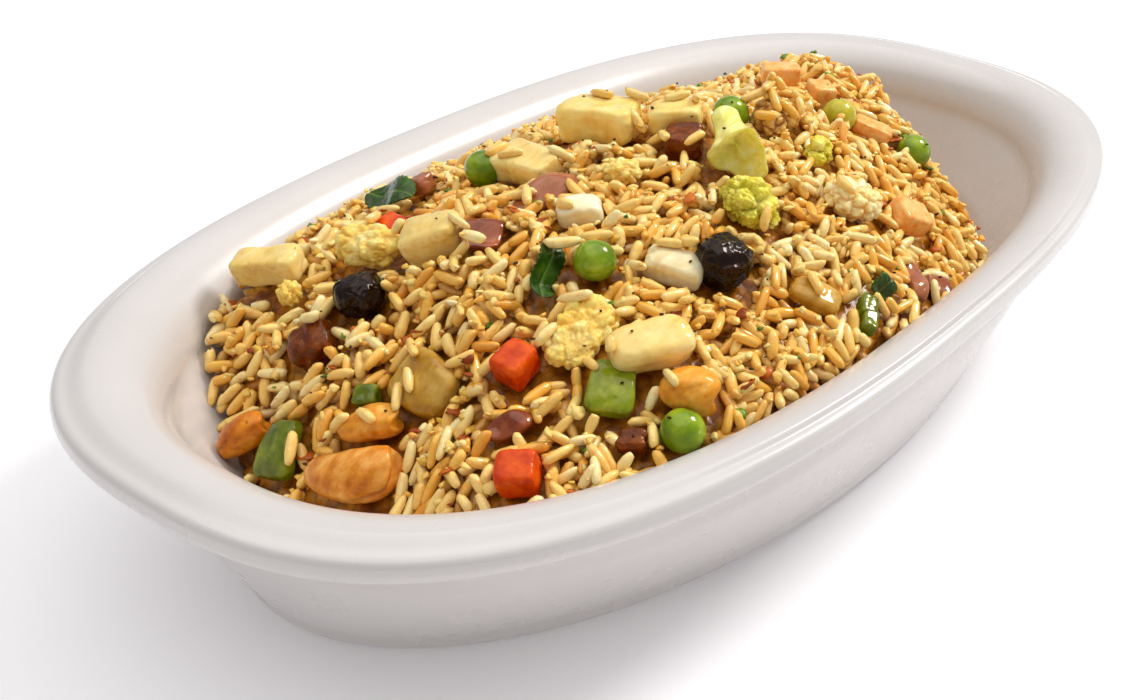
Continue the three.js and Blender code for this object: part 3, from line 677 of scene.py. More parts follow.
def tube_faces(rings, sides):
    """Faces of rings of points between a first and a last point."""
    faces = [(0, 1 + (k + 1) % sides, 1 + k) for k in range(sides)]
    for ring in range(rings - 1):
        for k in range(sides):
            a, b = 1 + ring * sides + k, 1 + ring * sides + (k + 1) % sides
            faces.append((a, b, b + sides, a + sides))
    last = 1 + (rings - 1) * sides
    return faces + [(last + k, last + (k + 1) % sides, last + sides) for k in range(sides)]


# Pieces

def linked(thing):
    bpy.context.scene.collection.objects.link(thing)
    return thing


def new_piece(name, points, faces, material, traits=None):
    """A smooth mesh from points in millimetres."""
    mesh = bpy.data.meshes.new(name)
    mesh.from_pydata((np.asarray(points) * MM).tolist(), [], faces)
    mesh.validate()
    mesh.polygons.foreach_set("use_smooth", [True] * len(mesh.polygons))
    for trait, values in (traits or {}).items():
        mesh.attributes.new(trait, "FLOAT", "POINT").data.foreach_set("value", np.asarray(values, np.float32))
    mesh.materials.append(material)
    mesh.update()
    return linked(bpy.data.objects.new(name, mesh))


def owned(piece, slot, *nodes):
    """Gives a piece to the dish's body and hides the solids it stands for; its material slot is not used."""
    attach(piece, "root")
    if nodes:
        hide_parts(*nodes)


def make_dish():
    """One closed body of stacked ovals: foot, wall, flare, rim edge, rim, lip and bowl."""
    wall_oval = grown(wall_top_oval, wall_thickness)
    rim_high = dish_height - rim_fall
    rim_low = rim_high - rim_edge_height
    rings = [(between((1, 1, 2), grown(foot_oval, -foot_round), k / 5), 0) for k in (1, 2, 3, 4)]

    def arc(oval, start, end, count, level, radius_out, radius_up):
        for k in range(count + 1):
            angle = math.radians(mix(start, end, k / count))
            rings.append((grown(oval, radius_out * math.cos(angle)), level + radius_up * math.sin(angle)))

    arc(grown(foot_oval, -foot_round), -90, 0, 7, foot_round, foot_round, foot_round)
    for k in range(1, 10):
        part = k / 9
        oval = grown(between(foot_oval, wall_oval, part), belly_swell * math.sin(part * math.pi))
        rings.append((oval, mix(foot_round, belly_top * rim_low, part)))
    for k in range(1, 8):
        part = k / 7
        level = mix(belly_top * rim_low, rim_low - 0.4, part)
        rings.append((grown(wall_oval, wall_flare * part ** 2.2), level))
    flare_top = grown(wall_oval, wall_flare)
    for part in (0.15, 0.4, 0.7, 0.9):
        oval = between(flare_top, grown(rim_oval, -rim_edge_round), part)
        rings.append((oval, rim_low - 0.12 * (1 - part)))
    arc(grown(rim_oval, -rim_edge_round), -90, 0, 6, rim_low + rim_edge_round, rim_edge_round, rim_edge_round)
    rings.append((grown(rim_oval, 0.12), mix(rim_low, rim_high, 0.5)))
    arc(grown(rim_oval, -rim_edge_round), 0, 90, 6, rim_high - rim_edge_round, rim_edge_round, rim_edge_round)
    rim_inner = grown(lip_oval, lip_flat_start)
    for k in range(1, 8):
        part = k / 8
        ease = part * part * (3 - 2 * part)
        oval = between(grown(rim_oval, -rim_edge_round), rim_inner, part)
        rings.append((oval, mix(rim_high, dish_height, ease)))
    arc(rim_inner, 90, 180, 14, lip_round_z, lip_radius, lip_radius)
    rings += bowl_rings()[::-1][1:]
    floor_oval = bowl_rings()[0][0]
    for part in (0.8, 0.6, 0.4, 0.2, 0.06):
        rings.append(((floor_oval[0] * part, floor_oval[1] * part, 2), floor_thickness))
    points = [(0, 0, 0)]
    for oval, level in rings:
        points += [(x, y, level) for x, y in oval_points(oval, dish_segments)]
    points.append((0, 0, floor_thickness))
    faces = tube_faces(len(rings), dish_segments)
    owned(new_piece("dish_body", points, faces, glaze()), "glaze", "dish")


def food_finishes():
    """Finishes of the larger pieces, each with its palest colour first."""
    return {
        "pea": skin_finish(
            "pea", (168, 190, 40), (118, 150, 10), (82, 114, 3), 4.5, 0.2, 1.6, 0.22, 0.05, 0.6),
        "pea_pale": skin_finish(
            "pea_pale", (216, 204, 72), (186, 176, 38), (144, 142, 16), 4.5, 0.22, 1.6, 0.25, 0.05, 0.5),
        "carrot": skin_finish(
            "carrot", (240, 98, 4), (218, 66, 0), (186, 42, 0), 2.8, 0.3, 1.6, 0.22, 0.14, 0.25),
        "carrot_frosted": skin_finish(
            "carrot_frosted", (254, 216, 150), (250, 182, 98), (240, 120, 26), 3.2, 0.34, 1.6, 0.22, 0.2,
            0.3),
        "pepper": skin_finish(
            "green_pepper", (132, 146, 20), (94, 110, 3), (70, 84, 1), 3.4, 0.2, 2.4, 0.35, 0.08, 0.6),
        "celery": skin_finish(
            "celery", (172, 180, 48), (134, 150, 18), (102, 118, 4), 3.2, 0.2, 3, 0.5, 0.08, 0.6),
        "onion": fibre_finish(
            "onion", (226, 188, 98), (190, 142, 40), (156, 102, 12), (160, 100, 14), (9, 1.6, 1.6)),
        "onion_frosted": fibre_finish(
            "onion_frosted", (255, 250, 226), (244, 228, 180), (216, 184, 112), (200, 150, 66),
            (9, 1.6, 1.6)),
        "pineapple": fibre_finish(
            "pineapple", (252, 228, 156), (242, 208, 118), (216, 162, 58), (190, 120, 28)),
        "potato": fibre_finish(
            "potato", (255, 234, 160), (250, 216, 120), (228, 174, 66), (198, 126, 32), (3.2, 2.4, 2.4)),
        "shallot": fibre_finish(
            "shallot", (192, 124, 86), (159, 90, 53), (126, 60, 26), (101, 34, 10), (9, 1.2, 1.2)),
        "shallot_dark": fibre_finish(
            "shallot_dark", (176, 94, 49), (130, 56, 19), (97, 31, 7), (78, 20, 4), (7, 1.2, 1.2)),
        "browned": skin_finish(
            "browned_piece", (160, 82, 16), (112, 44, 2), (70, 22, 0), 2.6, 0.26, 1.5, 0.2, 0.3, 0.25),
        "cashew": nut_finish("cashew", (244, 188, 98), (222, 140, 42), (176, 90, 9), 0.15),
        "roasted": nut_finish("roasted_nut", (255, 200, 96), (236, 158, 44), (184, 100, 10), 0.35),
        "charred": nut_finish("charred_nut", (230, 150, 32), (204, 112, 12), (140, 62, 2), 1),
        "raisin": raisin_finish(),
        "leaf": leaf_finish(),
        "floret": floret_finish(),
        "stalk": stalk_finish(),
        # For egg, cauliflower and clump, the fourth colour is the brown their creases take, partly painted
        # shade, and the last value is how much.
        "egg": egg_finish("egg", (255, 246, 176), (254, 226, 124), (240, 192, 72), (222, 160, 44), 0.45),
        "cauliflower": egg_finish(
            "cauliflower", (255, 252, 214), (255, 238, 172), (244, 204, 104), (224, 156, 44), 0.5),
        "clump": egg_finish(
            "fried_rice_clump", (254, 232, 168), (246, 204, 112), (206, 136, 44), (160, 90, 16), 0.9),
    }


def food_shapes():
    """Every piece of the mix that shows, near end first: its shape, finish and slot, then its place."""

    def pea(seed, finish="pea"):
        return pea_shape(seed), finish, "pea"

    def dice(long, wide, high, taper=0, finish="carrot", seed=1):
        return dice_shape((long, wide, high), taper, seed), finish, "carrot"

    def green(long, wide, high, taper=0, finish="pepper", seed=1, bend=0.7):
        return chunk_shape((long, wide, high), taper, seed, 5, 0.12, bend), finish, "green_pepper"

    def fruit(long, wide, high, taper=0, finish="pineapple", seed=1, power=6, fibre=0.07):
        return chunk_shape((long, wide, high), taper, seed, power, fibre), finish, "pineapple"

    def onion(long, wide, high, taper=0, seed=1, finish="onion", bend=0.5):
        return chunk_shape((long, wide, high), taper, seed, 4, 0.08, bend), finish, "onion"

    def browned(long, wide, high, seed=1):
        return chunk_shape((long, wide, high), 0, seed, 4.5, 0.3), "browned", "browned_piece"

    def shallot(long, wide, pointed=0.7, curl=-0.7, finish="shallot", seed=1):
        return sheet_shape((long, wide), slice_thickness, 0.6, curl, pointed, seed), finish, "shallot"

    def leaf(long, wide, curl=0.0, seed=1):
        shape = sheet_shape((long, wide), leaf_thickness, 1, curl, 0.7, seed, 34, 0.16, 0.22, 0.25)
        return shape, "leaf", "herb_leaf"

    def nut(long, wide, high, bend, groove=0.18, finish="roasted", slot="roasted_nut", seed=1, side=-0.75):
        return kernel_shape(long, wide, high, bend, groove, seed, side), finish, slot

    def raisin(long, wide, high, seed):
        return raisin_shape((long, wide, high), seed), "raisin", "raisin"

    def curd(long, wide, high, seed, finish="egg", slot="egg", **shape):
        return curd_shape((long, wide, high), seed, **shape), finish, slot

    def floret(long, wide, high, seed, cuts=44):
        return floret_shape((long, wide, high), seed, cuts), "floret", "broccoli"

    stalk = stalk_shape(13.7, 6.5, 12.9, -1.4, 4), "stalk", "broccoli"
    bead = chunk_shape((5, 4.4, 3.6), 0, 31, 4, 0.15, 0, 16), "shallot", "shallot"
    egg_leaf = curd_shape((15.4, 9.4, 3.6), 8, fold=3.4, depth=0.8, fine=1.2, cuts=38, power=3), "egg", "egg"

    return {
        "cashew_front": (nut(18.2, 9.6, 8.5, -1.6, 0.24, "cashew", "cashew", 2, -3.03), (-91, -5, -61, 2.1)),
        "cashew_charred": (
            nut(10.8, 6.7, 5.9, 0.7, 0.2, "charred", "roasted_nut", 3), (-93.1, 21.4, -30, 1.6)),
        "cashew_middle": (nut(11.6, 6.4, 5.7, 0.9, seed=4), (-84.7, -3.1, -52, 1.6)),
        "pepper_front": (green(10.8, 8.6, 3.4, 0.35, seed=5), (-92.5, 12.5, 18, 2)),
        "browned_cube": (browned(7.7, 8.1, 6.7, 6), (-77, 19.5, 44, -1.1)),
        "raisin_left": (raisin(8.4, 8.6, 7.7, 3), (-67.4, 17.1, 25, 0.7)),
        "leek_left": (green(4.5, 3.9, 3, seed=7, bend=0), (-80.8, 2, -60, 0.7)),
        "onion_slab": (onion(12.8, 11.5, 4.8, 0.2, 8), (-75.1, -6.5, -101, 0.7, 8)),
        "carrot_front": (dice(dice_size, 6.3, 6.3, seed=9), (-81.6, -33.9, -55, 1.9)),
        "carrot_middle": (dice(dice_size, 6.3, 6.1, 0.15, seed=10), (-67.5, -21, 2, 1.6)),
        "shallot_sliver": (shallot(8.2, 4.4, finish="shallot_dark", seed=11), (-75.9, -26.7, -37, 1.1)),
        "pineapple_left": (fruit(13.5, 6.3, 5.4, -0.1, seed=12), (-69.1, 40.5, -63, 2.9)),
        "egg_left": (curd(14.7, 9.8, 7.5, 5), (-57.8, 25.2, -84, 1.8)),
        "egg_bead": (curd(4.9, 4.5, 4.1, 7, fold=2.4, depth=0.5, cuts=18), (-71.8, 31.4, 0, 1.1)),
        "carrot_sliver": (dice(6.6, 4.1, 2.7, seed=13), (-51.2, 25.3, -103, 2.1)),
        "pineapple_middle": (fruit(11.5, 9.4, 7.1, 0.3, seed=14), (-52.9, 12.4, -60, 1.4)),
        "shallot_brown": (shallot(8.4, 7.4, 0.4, finish="shallot_dark", seed=15), (-49.4, 3.5, 30, 1.2, 12)),
        "leaf_back": (leaf(13.9, 7.2, seed=16), (-42.8, 35.3, -91, 2.9, 18)),
        "egg_sheet": (egg_leaf, (-56.5, -25.6, 2, 1.7, 14)),
        "celery": (green(9.9, 8.7, 3.3, 0.2, "celery", 17), (-61.2, -36.4, 28, 1, 10)),
        "pineapple_stick": (
            fruit(14.7, 7.6, 6.4, -0.14, seed=18, power=3.4, fibre=0.05), (-52.7, -37.8, -31, 2.8)),
        "nut_round": (nut(10.4, 8.3, 7.9, 0.3, 0.05, seed=19), (-53.5, -46.8, -52, 1.7)),
        "pea_front": (pea(20), (-59.5, -50, 0, 1.6)),
        "bean_dark": (browned(4.7, 3.8, 3.3, 21), (-66.1, -44.6, -56, 0.9)),
        "pea_centre": (pea(22), (-43.9, -18.4, 0, 2.1)),
        "leaf_centre": (leaf(12.3, 5.3, 0.8, 23), (-51.1, -13.1, 33, 2.5, 46)),
        "raisin_centre": (raisin(10.1, 9.7, 8.7, 11), (-27, -34.1, -9, 2.1)),
        "onion_frosted": (onion(10.8, 6.4, 5.2, -0.1, 24, "onion_frosted"), (-33.7, -28, -62, 0.9)),
        "onion_pale": (onion(8.6, 6.3, 4.5, 0, 25, "onion_frosted"), (-33.9, -6.2, -44, 1)),
        "shallot_slice": (shallot(14.9, 7, curl=-1.1, seed=26), (-31.1, 4.7, -10, 1.8, 16)),
        "pineapple_slab": (fruit(14.5, 10.6, 5.6, 0.4, seed=27), (-24.9, 15.4, -96, 1.6)),
        "pea_back": (pea(28), (-28.6, 23.6, 0, 1.1)),
        "egg_small": (curd(7.5, 5.6, 4.9, 13, fold=2.8, depth=0.6, cuts=24), (-18.9, -3.8, -42, 1.7)),
        "potato_big": (fruit(16.2, 11.1, 8.2, 0.1, "potato", 29, 5.5, 0.12), (-7, 11.9, -76, 2.4)),
        "onion_striped": (onion(9.8, 5.9, 3.6, 0, 30), (-16.7, -47.4, -64, 0.7)),
        "shallot_bead": (bead, (-36.4, 33.2, 10, 1.6)),
        "broccoli_stalk": (stalk, (0.8, -16.1, -126, 3.9, -20)),
        "broccoli_floret": (floret(11.2, 12.5, 8.1, 17), (-11.1, -28.4, 17, 1.7)),
        "broccoli_bud": (floret(6.4, 6.4, 5.6, 19, 30), (18.2, -24.5, 0, 1.4)),
        "browned_slab": (browned(7.4, 7.1, 5.5, 32), (-3.8, -7.1, -60, 0.5)),
        "potato_small": (fruit(10.8, 7, 6, 0.2, "potato", 33, 4, 0.12), (0.5, -1.5, -60, 1.7)),
        "pea_dark": (pea(34), (14.1, -5.4, 0, 1.4)),
        "fried_clump": (
            curd(13.4, 9.6, 7.8, 23, "clump", "fried_rice_clump", fold=3.4), (21.3, -11.6, 16, 1.9)),
        "cauliflower": (curd(13.8, 9.5, 6.9, 29, "cauliflower", "egg", fold=3.2), (11.5, -37.7, -24, 1.9)),
        "carrot_right": (dice(8.7, 7.1, 5.2, 0.12, "carrot_frosted", 35), (26.8, -42.5, -30, 1.7)),
        "shallot_strip": (shallot(9.8, 4.1, 0.15, seed=36), (10.5, -54.2, -134, 1.4, 10)),
        "shallot_dark": (shallot(6.9, 5.9, 0.3, finish="shallot_dark", seed=37), (18.3, -55.6, -60, 0.7)),
        "leaf_right": (leaf(6.2, 4.8, seed=38), (-1.4, -53.3, 20, 1.2, 16)),
        "pepper_right": (green(5.2, 3.6, 3.1, seed=39, bend=0), (-9.1, -54.4, 31, 0.9)),
        "pepper_edge": (green(5.4, 3.1, 3, seed=40, bend=0), (-11.6, -56.3, 30, 0.9)),
        "pea_right": (pea(41, "pea_pale"), (39.7, -16, 0, 1.2)),
        "carrot_back": (dice(5.8, 5.6, 4.9, finish="carrot_frosted", seed=42), (44.5, -7.8, -30, 1.4)),
        "carrot_top": (dice(8.8, 6, 5.1, finish="carrot_frosted", seed=43), (44.2, 2.7, -50, 1.8)),
        "carrot_flake": (dice(8.8, 4.4, 3.2, finish="carrot_frosted", seed=44), (44.1, -22, -60, 1.1)),
        "pea_far": (pea(45), (50.6, -29.4, 0, 0.5)),
    }


class Bed:
    """Heights over a fine grid of what lies in the dish, for laying loose things on."""

    def __init__(self):
        xs = np.arange(-bed_half_length, bed_half_length + cell / 2, cell)
        ys = np.arange(-bed_half_width, bed_half_width + cell / 2, cell)
        self.x, self.y = np.meshgrid(xs, ys, indexing="ij")
        self.bowl = bowl_height(self.x, self.y)
        self.heap = rice_surface(self.x, self.y)
        inside = oval_reach(wall_top_oval, self.x, self.y) < bed_reach
        along_clumps = np.sin(self.x / 3.1 + 1.3 * np.sin(self.y / 4.7))
        across_clumps = np.sin(self.y / 2.7 + 1.1 * np.sin(self.x / 5.3))
        surface = self.heap + grain_cover + clump_rise * along_clumps * across_clumps
        self.goal = np.where(inside & (self.heap > self.bowl + thinnest_rice), surface, -1)
        self.top = np.maximum(self.heap - bed_depth, self.bowl)
        self.taken = np.zeros(self.x.shape, bool)
        self.pieces = {}
        self.covered = np.zeros(self.x.shape, bool)

    def index(self, x, y):
        i = np.clip(np.rint((np.asarray(x) + bed_half_length) / cell).astype(int), 0, self.x.shape[0] - 1)
        j = np.clip(np.rint((np.asarray(y) + bed_half_width) / cell).astype(int), 0, self.x.shape[1] - 1)
        return i, j

    def cover(self, name, points):
        """Marks where a piece of food lies and how high it stands."""
        i, j = self.index(points[:, 0], points[:, 1])
        over = np.full(self.x.shape, -1.0)
        np.maximum.at(over, (i, j), points[:, 2])
        spread = over.copy()
        for di, dj in ((1, 0), (-1, 0), (0, 1), (0, -1)):
            spread = np.maximum(spread, np.roll(over, (di, dj), (0, 1)))
        near = spread > self.goal - shown_depth
        self.pieces[name] = (spread > 0) & (self.goal > 0)
        self.covered |= self.pieces[name] & (spread > self.goal - crumb_free_depth)
        deep = near.copy()
        for di, dj in ((2, 0), (-2, 0), (0, 2), (0, -2)):
            deep &= np.roll(near, (di, dj), (0, 1))
        self.taken |= deep
        wide = near
        for _ in range(hollow_cells):
            steps = [np.roll(wide, step, axis) for step in (1, -1) for axis in (0, 1)]
            wide = np.logical_or.reduce([wide, *steps])
        level = self.heap + grain_cover - hollow_depth
        self.goal = np.where(wide & (self.goal > 0), np.minimum(self.goal, level), self.goal)
        self.top = np.maximum(self.top, spread)

    def lay(self, chance, x, y, size, most_gap=None, perch=0.0):
        """Lays one grain and returns its place, pitch and yaw, or None where it would stand off."""
        long, wide, high = size
        best = None
        lie = 2.2 * math.sin(x / 9 + 1.7 * math.sin(y / 11))
        lie += 1.9 * math.sin(y / 7.5 + 1.3 * math.sin(x / 13))
        for attempt in range(3):
            yaw = lie + chance.gauss(0, 0.7) if attempt < 1 else chance.uniform(0, math.pi)
            c, s = math.cos(yaw), math.sin(yaw)
            along = np.linspace(-0.44, 0.44, 9)[:, None] * long
            aside = np.array([-0.3, 0, 0.3])[None, :] * wide
            i, j = self.index(x + along * c - aside * s, y + along * s + aside * c)
            under = self.top[i, j]
            belly = high / 2 * np.sqrt(np.clip(1 - (along / long * 1.9) ** 4, 0.05, 1))
            belly = belly * np.array([0.75, 1, 0.75])
            base = float(np.polyfit(along[:, 0], under[:, 1], 1)[0])
            for change in (-0.2, 0, 0.2):
                wanted = base + change + chance.uniform(-0.05, 0.05) + perch
                slope = max(-steepest_grain, min(steepest_grain, wanted))
                height = float((under - along * slope + belly).max())
                gap = float((height + along * slope - belly - under).mean())
                if best is None or gap < best[0]:
                    best = (gap, height, slope, yaw)
        gap, height, slope, yaw = best
        height -= chance.uniform(*grain_sink) + max(gap - 0.5, 0) * 0.8
        i, j = self.index(x, y)
        if most_gap and (gap > most_gap + abs(perch) * 2 or height > self.goal[i, j] + most_rise):
            return None
        c, s = math.cos(yaw), math.sin(yaw)
        along = np.linspace(-0.5, 0.5, int(long / cell * 1.6) + 2)[:, None] * long
        aside = np.linspace(-0.5, 0.5, 7)[None, :] * wide
        i, j = self.index(x + along * c - aside * s, y + along * s + aside * c)
        dome = np.clip(1 - (along / long * 2) ** 6 - (aside / wide * 2) ** 2 * 0.8, 0, 1) ** 0.5
        np.maximum.at(self.top, (i, j), height + along * slope + high / 2 * dome)
        return (x, y, height), -math.atan(slope), yaw

    def free_spots(self, least):
        """Spots that lack more than `least` of the wanted height."""
        return np.argwhere(np.where(self.taken, 0, self.goal - self.top) > least)


def grain_shapes():
    """Unit grains along X, one unit long, wide and high, each bent and tapered a little differently."""
    chance = random.Random(5)
    shapes = []
    cap = 0.4
    sides = 7
    stations = (-0.95, -0.78, -0.35, 0.35, 0.78, 0.95)
    for number in range(grain_kinds):
        bend, twist = chance.uniform(-0.3, 0.3), chance.uniform(-0.16, 0.16)
        heavy, flat = chance.uniform(-0.12, 0.16), chance.uniform(0, 0.12)
        cut = number % 6 == 5
        points = [(-0.5, bend * 0.5, twist * 0.3)]
        for t in stations:
            end = max(abs(t) - cap, 0) / (1 - cap)
            radius = 0.5 * (1 - end ** 2.2) ** 0.5 * (1 + heavy * t)
            if cut and t > 0.9:
                radius *= 1.6
            for k in range(sides):
                angle = 2 * math.pi * k / sides + twist * t
                wobble = 1 + chance.uniform(-0.06, 0.06) - flat * math.cos(2 * angle)
                points.append((
                    t / 2 + (0.03 * math.cos(angle) if abs(t) > 0.9 else 0),
                    radius * wobble * math.cos(angle) + bend * t * t * 0.5,
                    radius * wobble * math.sin(angle) + twist * t * t * 0.3,
                ))
        points.append((0.5, bend * 0.5, twist * 0.3))
        shapes.append((points, tube_faces(len(stations), sides)))
    return shapes


def crumb_shapes():
    """Unit crumbs: small uneven lumps."""
    directions, faces = ball(3)
    swells = [1 + 0.7 * rough(directions, 0.8, number + 2) for number in range(crumb_kinds)]
    return [(directions * 0.5 * swell[:, None], faces) for swell in swells]


def scatter_tree():
    """Places one of several shapes on each point, turned and sized by the point's own values."""
    tree = bpy.data.node_groups.new("laid_pieces", "GeometryNodeTree")
    sockets = tree.interface
    sockets.new_socket("Geometry", in_out="INPUT", socket_type="NodeSocketGeometry")
    sockets.new_socket("Shapes", in_out="INPUT", socket_type="NodeSocketCollection")
    sockets.new_socket("Size", in_out="INPUT", socket_type="NodeSocketFloat")
    sockets.new_socket("Finish", in_out="INPUT", socket_type="NodeSocketMaterial")
    sockets.new_socket("Geometry", in_out="OUTPUT", socket_type="NodeSocketGeometry")

    def add(kind, settings=None, **links):
        node = tree.nodes.new(kind)
        for key, value in (settings or {}).items():
            setattr(node, key, value)
        for key, value in links.items():
            target = node.inputs[key.replace("_", " ")]
            if isinstance(value, bpy.types.NodeSocket):
                tree.links.new(value, target)
            else:
                target.default_value = value
        return node

    def trait(name, kind):
        return add("GeometryNodeInputNamedAttribute", {"data_type": kind}, Name=name).outputs["Attribute"]

    given = add("NodeGroupInput").outputs
    shapes = add(
        "GeometryNodeCollectionInfo", Collection=given["Shapes"], Separate_Children=True, Reset_Children=True)
    turned = add("FunctionNodeEulerToRotation", Euler=trait("turn", "FLOAT_VECTOR"))
    sized = add("ShaderNodeVectorMath", {"operation": "SCALE"})
    tree.links.new(trait("size", "FLOAT_VECTOR"), sized.inputs[0])
    tree.links.new(given["Size"], sized.inputs["Scale"])
    laid = add(
        "GeometryNodeInstanceOnPoints", Points=given["Geometry"], Instance=shapes.outputs[0],
        Pick_Instance=True, Instance_Index=trait("pick", "INT"), Rotation=turned.outputs[0],
        Scale=sized.outputs[0])
    whole = add("GeometryNodeRealizeInstances", Geometry=laid.outputs[0])
    painted = add("GeometryNodeSetMaterial", Geometry=whole.outputs[0], Material=given["Finish"])
    done = add("NodeGroupOutput")
    tree.links.new(painted.outputs[0], done.inputs[0])
    return tree


def shape_collection(name, shapes):
    collection = bpy.data.collections.new(name)
    for number, (points, faces) in enumerate(shapes):
        mesh = bpy.data.meshes.new(f"{name}_{number:02d}")
        mesh.from_pydata([tuple(p) for p in points], [], faces)
        mesh.polygons.foreach_set("use_smooth", [True] * len(mesh.polygons))
        collection.objects.link(bpy.data.objects.new(mesh.name, mesh))
    return collection


def strewn(name, laid, collection, tree, material, slot):
    """One mesh of many small pieces. `laid` holds place, turn, size, pick, tone and depth of each; the depth
    darkens deeper grains as painted shade.
    """
    mesh = bpy.data.meshes.new(name + "_points")
    mesh.from_pydata([tuple(v * MM for v in item["place"]) for item in laid], [], [])
    kinds = {"turn": "FLOAT_VECTOR", "size": "FLOAT_VECTOR", "pick": "INT", "tone": "FLOAT", "deep": "FLOAT"}
    for trait, kind in kinds.items():
        key = "vector" if kind == "FLOAT_VECTOR" else "value"
        values = np.array([item[trait] for item in laid]).ravel()
        mesh.attributes.new(trait, kind, "POINT").data.foreach_set(key, values)
    holder = linked(bpy.data.objects.new(name + "_points", mesh))
    layer = holder.modifiers.new("laid", "NODES")
    layer.node_group = tree
    sockets = {item.name: item.identifier for item in tree.interface.items_tree if item.in_out == "INPUT"}
    layer[sockets["Shapes"]] = collection
    layer[sockets["Size"]] = MM
    layer[sockets["Finish"]] = material
    ready = holder.evaluated_get(bpy.context.evaluated_depsgraph_get())
    made = bpy.data.meshes.new_from_object(ready)
    made.name = name
    for helper in ("turn", "size", "pick"):
        if helper in made.attributes:
            made.attributes.remove(made.attributes[helper])
    if not made.materials:
        made.materials.append(material)
    bpy.data.objects.remove(holder)
    owned(linked(bpy.data.objects.new(name, made)), slot)


def make_core():
    """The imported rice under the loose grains, a closed body a little inside the heap."""
    xs = np.arange(-108, 108.1, core_step)
    ys = np.arange(-62, 62.1, core_step)
    x, y = np.meshgrid(xs, ys, indexing="ij")
    lumps = np.sin(x * 1.3 + np.sin(y * 0.9)) * np.cos(y * 1.2 + np.sin(x * 0.7))
    top = rice_surface(x, y) - core_depth + 0.7 * lumps
    bottom = bowl_height(x, y) + 0.3
    solid = (top > bottom + 0.5) & (oval_reach(wall_top_oval, x, y) < core_reach)
    full = solid[:-1, :-1] & solid[1:, :-1] & solid[:-1, 1:] & solid[1:, 1:]
    points, faces, numbers = [], [], {}

    def corner(i, j, level):
        key = (i, j, level)
        if key not in numbers:
            numbers[key] = len(points)
            points.append((x[i, j], y[i, j], top[i, j] if level else bottom[i, j]))
        return numbers[key]

    # Neighbour on each side of a cell, and the corners of the cell's edge there
    sides = (((0, -1), (0, 1)), ((1, 0), (1, 2)), ((0, 1), (2, 3)), ((-1, 0), (3, 0)))
    for i, j in np.argwhere(full):
        loop = [(i, j), (i + 1, j), (i + 1, j + 1), (i, j + 1)]
        faces.append([corner(p, q, 1) for p, q in loop])
        faces.append([corner(p, q, 0) for p, q in reversed(loop)])
        for (di, dj), (first, second) in sides:
            ni, nj = i + di, j + dj
            if 0 <= ni < full.shape[0] and 0 <= nj < full.shape[1] and full[ni, nj]:
                continue
            (p, q), (r, s) = loop[first], loop[second]
            faces.append([corner(p, q, 0), corner(r, s, 0), corner(r, s, 1), corner(p, q, 1)])
    owned(new_piece("rice_core", points, faces, core_finish()), "rice", "rice")


def make_food(bed, finishes):
    """Settles every larger piece on the heap and marks it in the bed."""
    for name, ((shape, finish, slot), place) in food_shapes().items():
        points, faces, traits = shape
        pose = np.array(settled(*place))
        placed = points @ pose[:3, :3].T + pose[:3, 3]
        bed.cover(name, placed)
        owned(new_piece(name + "_food", placed, faces, finishes[finish], traits), slot, name)


def grain_size(chance):
    long = chance.choice((1, 1, 1, 0.93, 1.07, 0.85, 0.6)) * chance.uniform(*grain_lengths)
    return long, chance.uniform(*grain_widths), chance.uniform(*grain_heights)


def loose_grain(chance, found, size):
    """What the scatter needs of a grain laid as `found`, rolled at random about its length."""
    place, pitch, yaw = found
    roll = chance.uniform(0, 6.28)
    return {"place": place, "turn": (roll, pitch, yaw), "size": size, "pick": chance.randrange(grain_kinds)}


def lay_rice(bed):
    """Fills the bed up to its wanted height in three rounds, then lays grains on the larger pieces."""
    chance = random.Random(12)
    grains = []
    for least, gap, patience in ((2.0, 1.0, 500), (1.0, 1.2, 1200), (0.4, 2.0, 2200)):
        spots = bed.free_spots(least)
        misses = 0
        while misses < patience and len(grains) < most_grains:
            if len(grains) % 10 == 0:
                spots = bed.free_spots(least)
            if not len(spots):
                break
            i, j = spots[chance.randrange(len(spots))]
            x = bed.x[i, j] + chance.uniform(-0.25, 0.25)
            y = bed.y[i, j] + chance.uniform(-0.25, 0.25)
            size = grain_size(chance)
            perch = chance.choice((0, 0, 0.35, -0.35, 0.6, -0.6, 0.9, -0.9)) if least < 2 else 0
            found = bed.lay(chance, x, y, size, gap, perch=perch)
            if found is None:
                misses += 1
                if misses % 10 == 0:
                    spots = bed.free_spots(least)
                continue
            misses = max(misses - 3, 0)
            grain = loose_grain(chance, found, size)
            grain["tone"] = min(1.0, max(0.0, chance.gauss(0.38, 0.26)))
            # How deep the grain lies under the wanted surface; the rice finish darkens deeper grains by it as
            # painted shade.
            grain["deep"] = max(0.0, min(1.0, (bed.heap[i, j] + grain_cover - found[0][2] - 0.4) / 3.4))
            grains.append(grain)
    for name, count in resting_grains.items():
        spots = np.argwhere(bed.pieces[name])
        for _ in range(count):
            i, j = spots[chance.randrange(len(spots))]
            size = grain_size(chance)
            grain = loose_grain(chance, bed.lay(chance, bed.x[i, j], bed.y[i, j], size), size)
            grain["tone"] = chance.uniform(0.1, 0.5) + (0.3 if name == "fried_clump" else 0)
            grain["deep"] = 0.0
            grains.append(grain)
    return grains


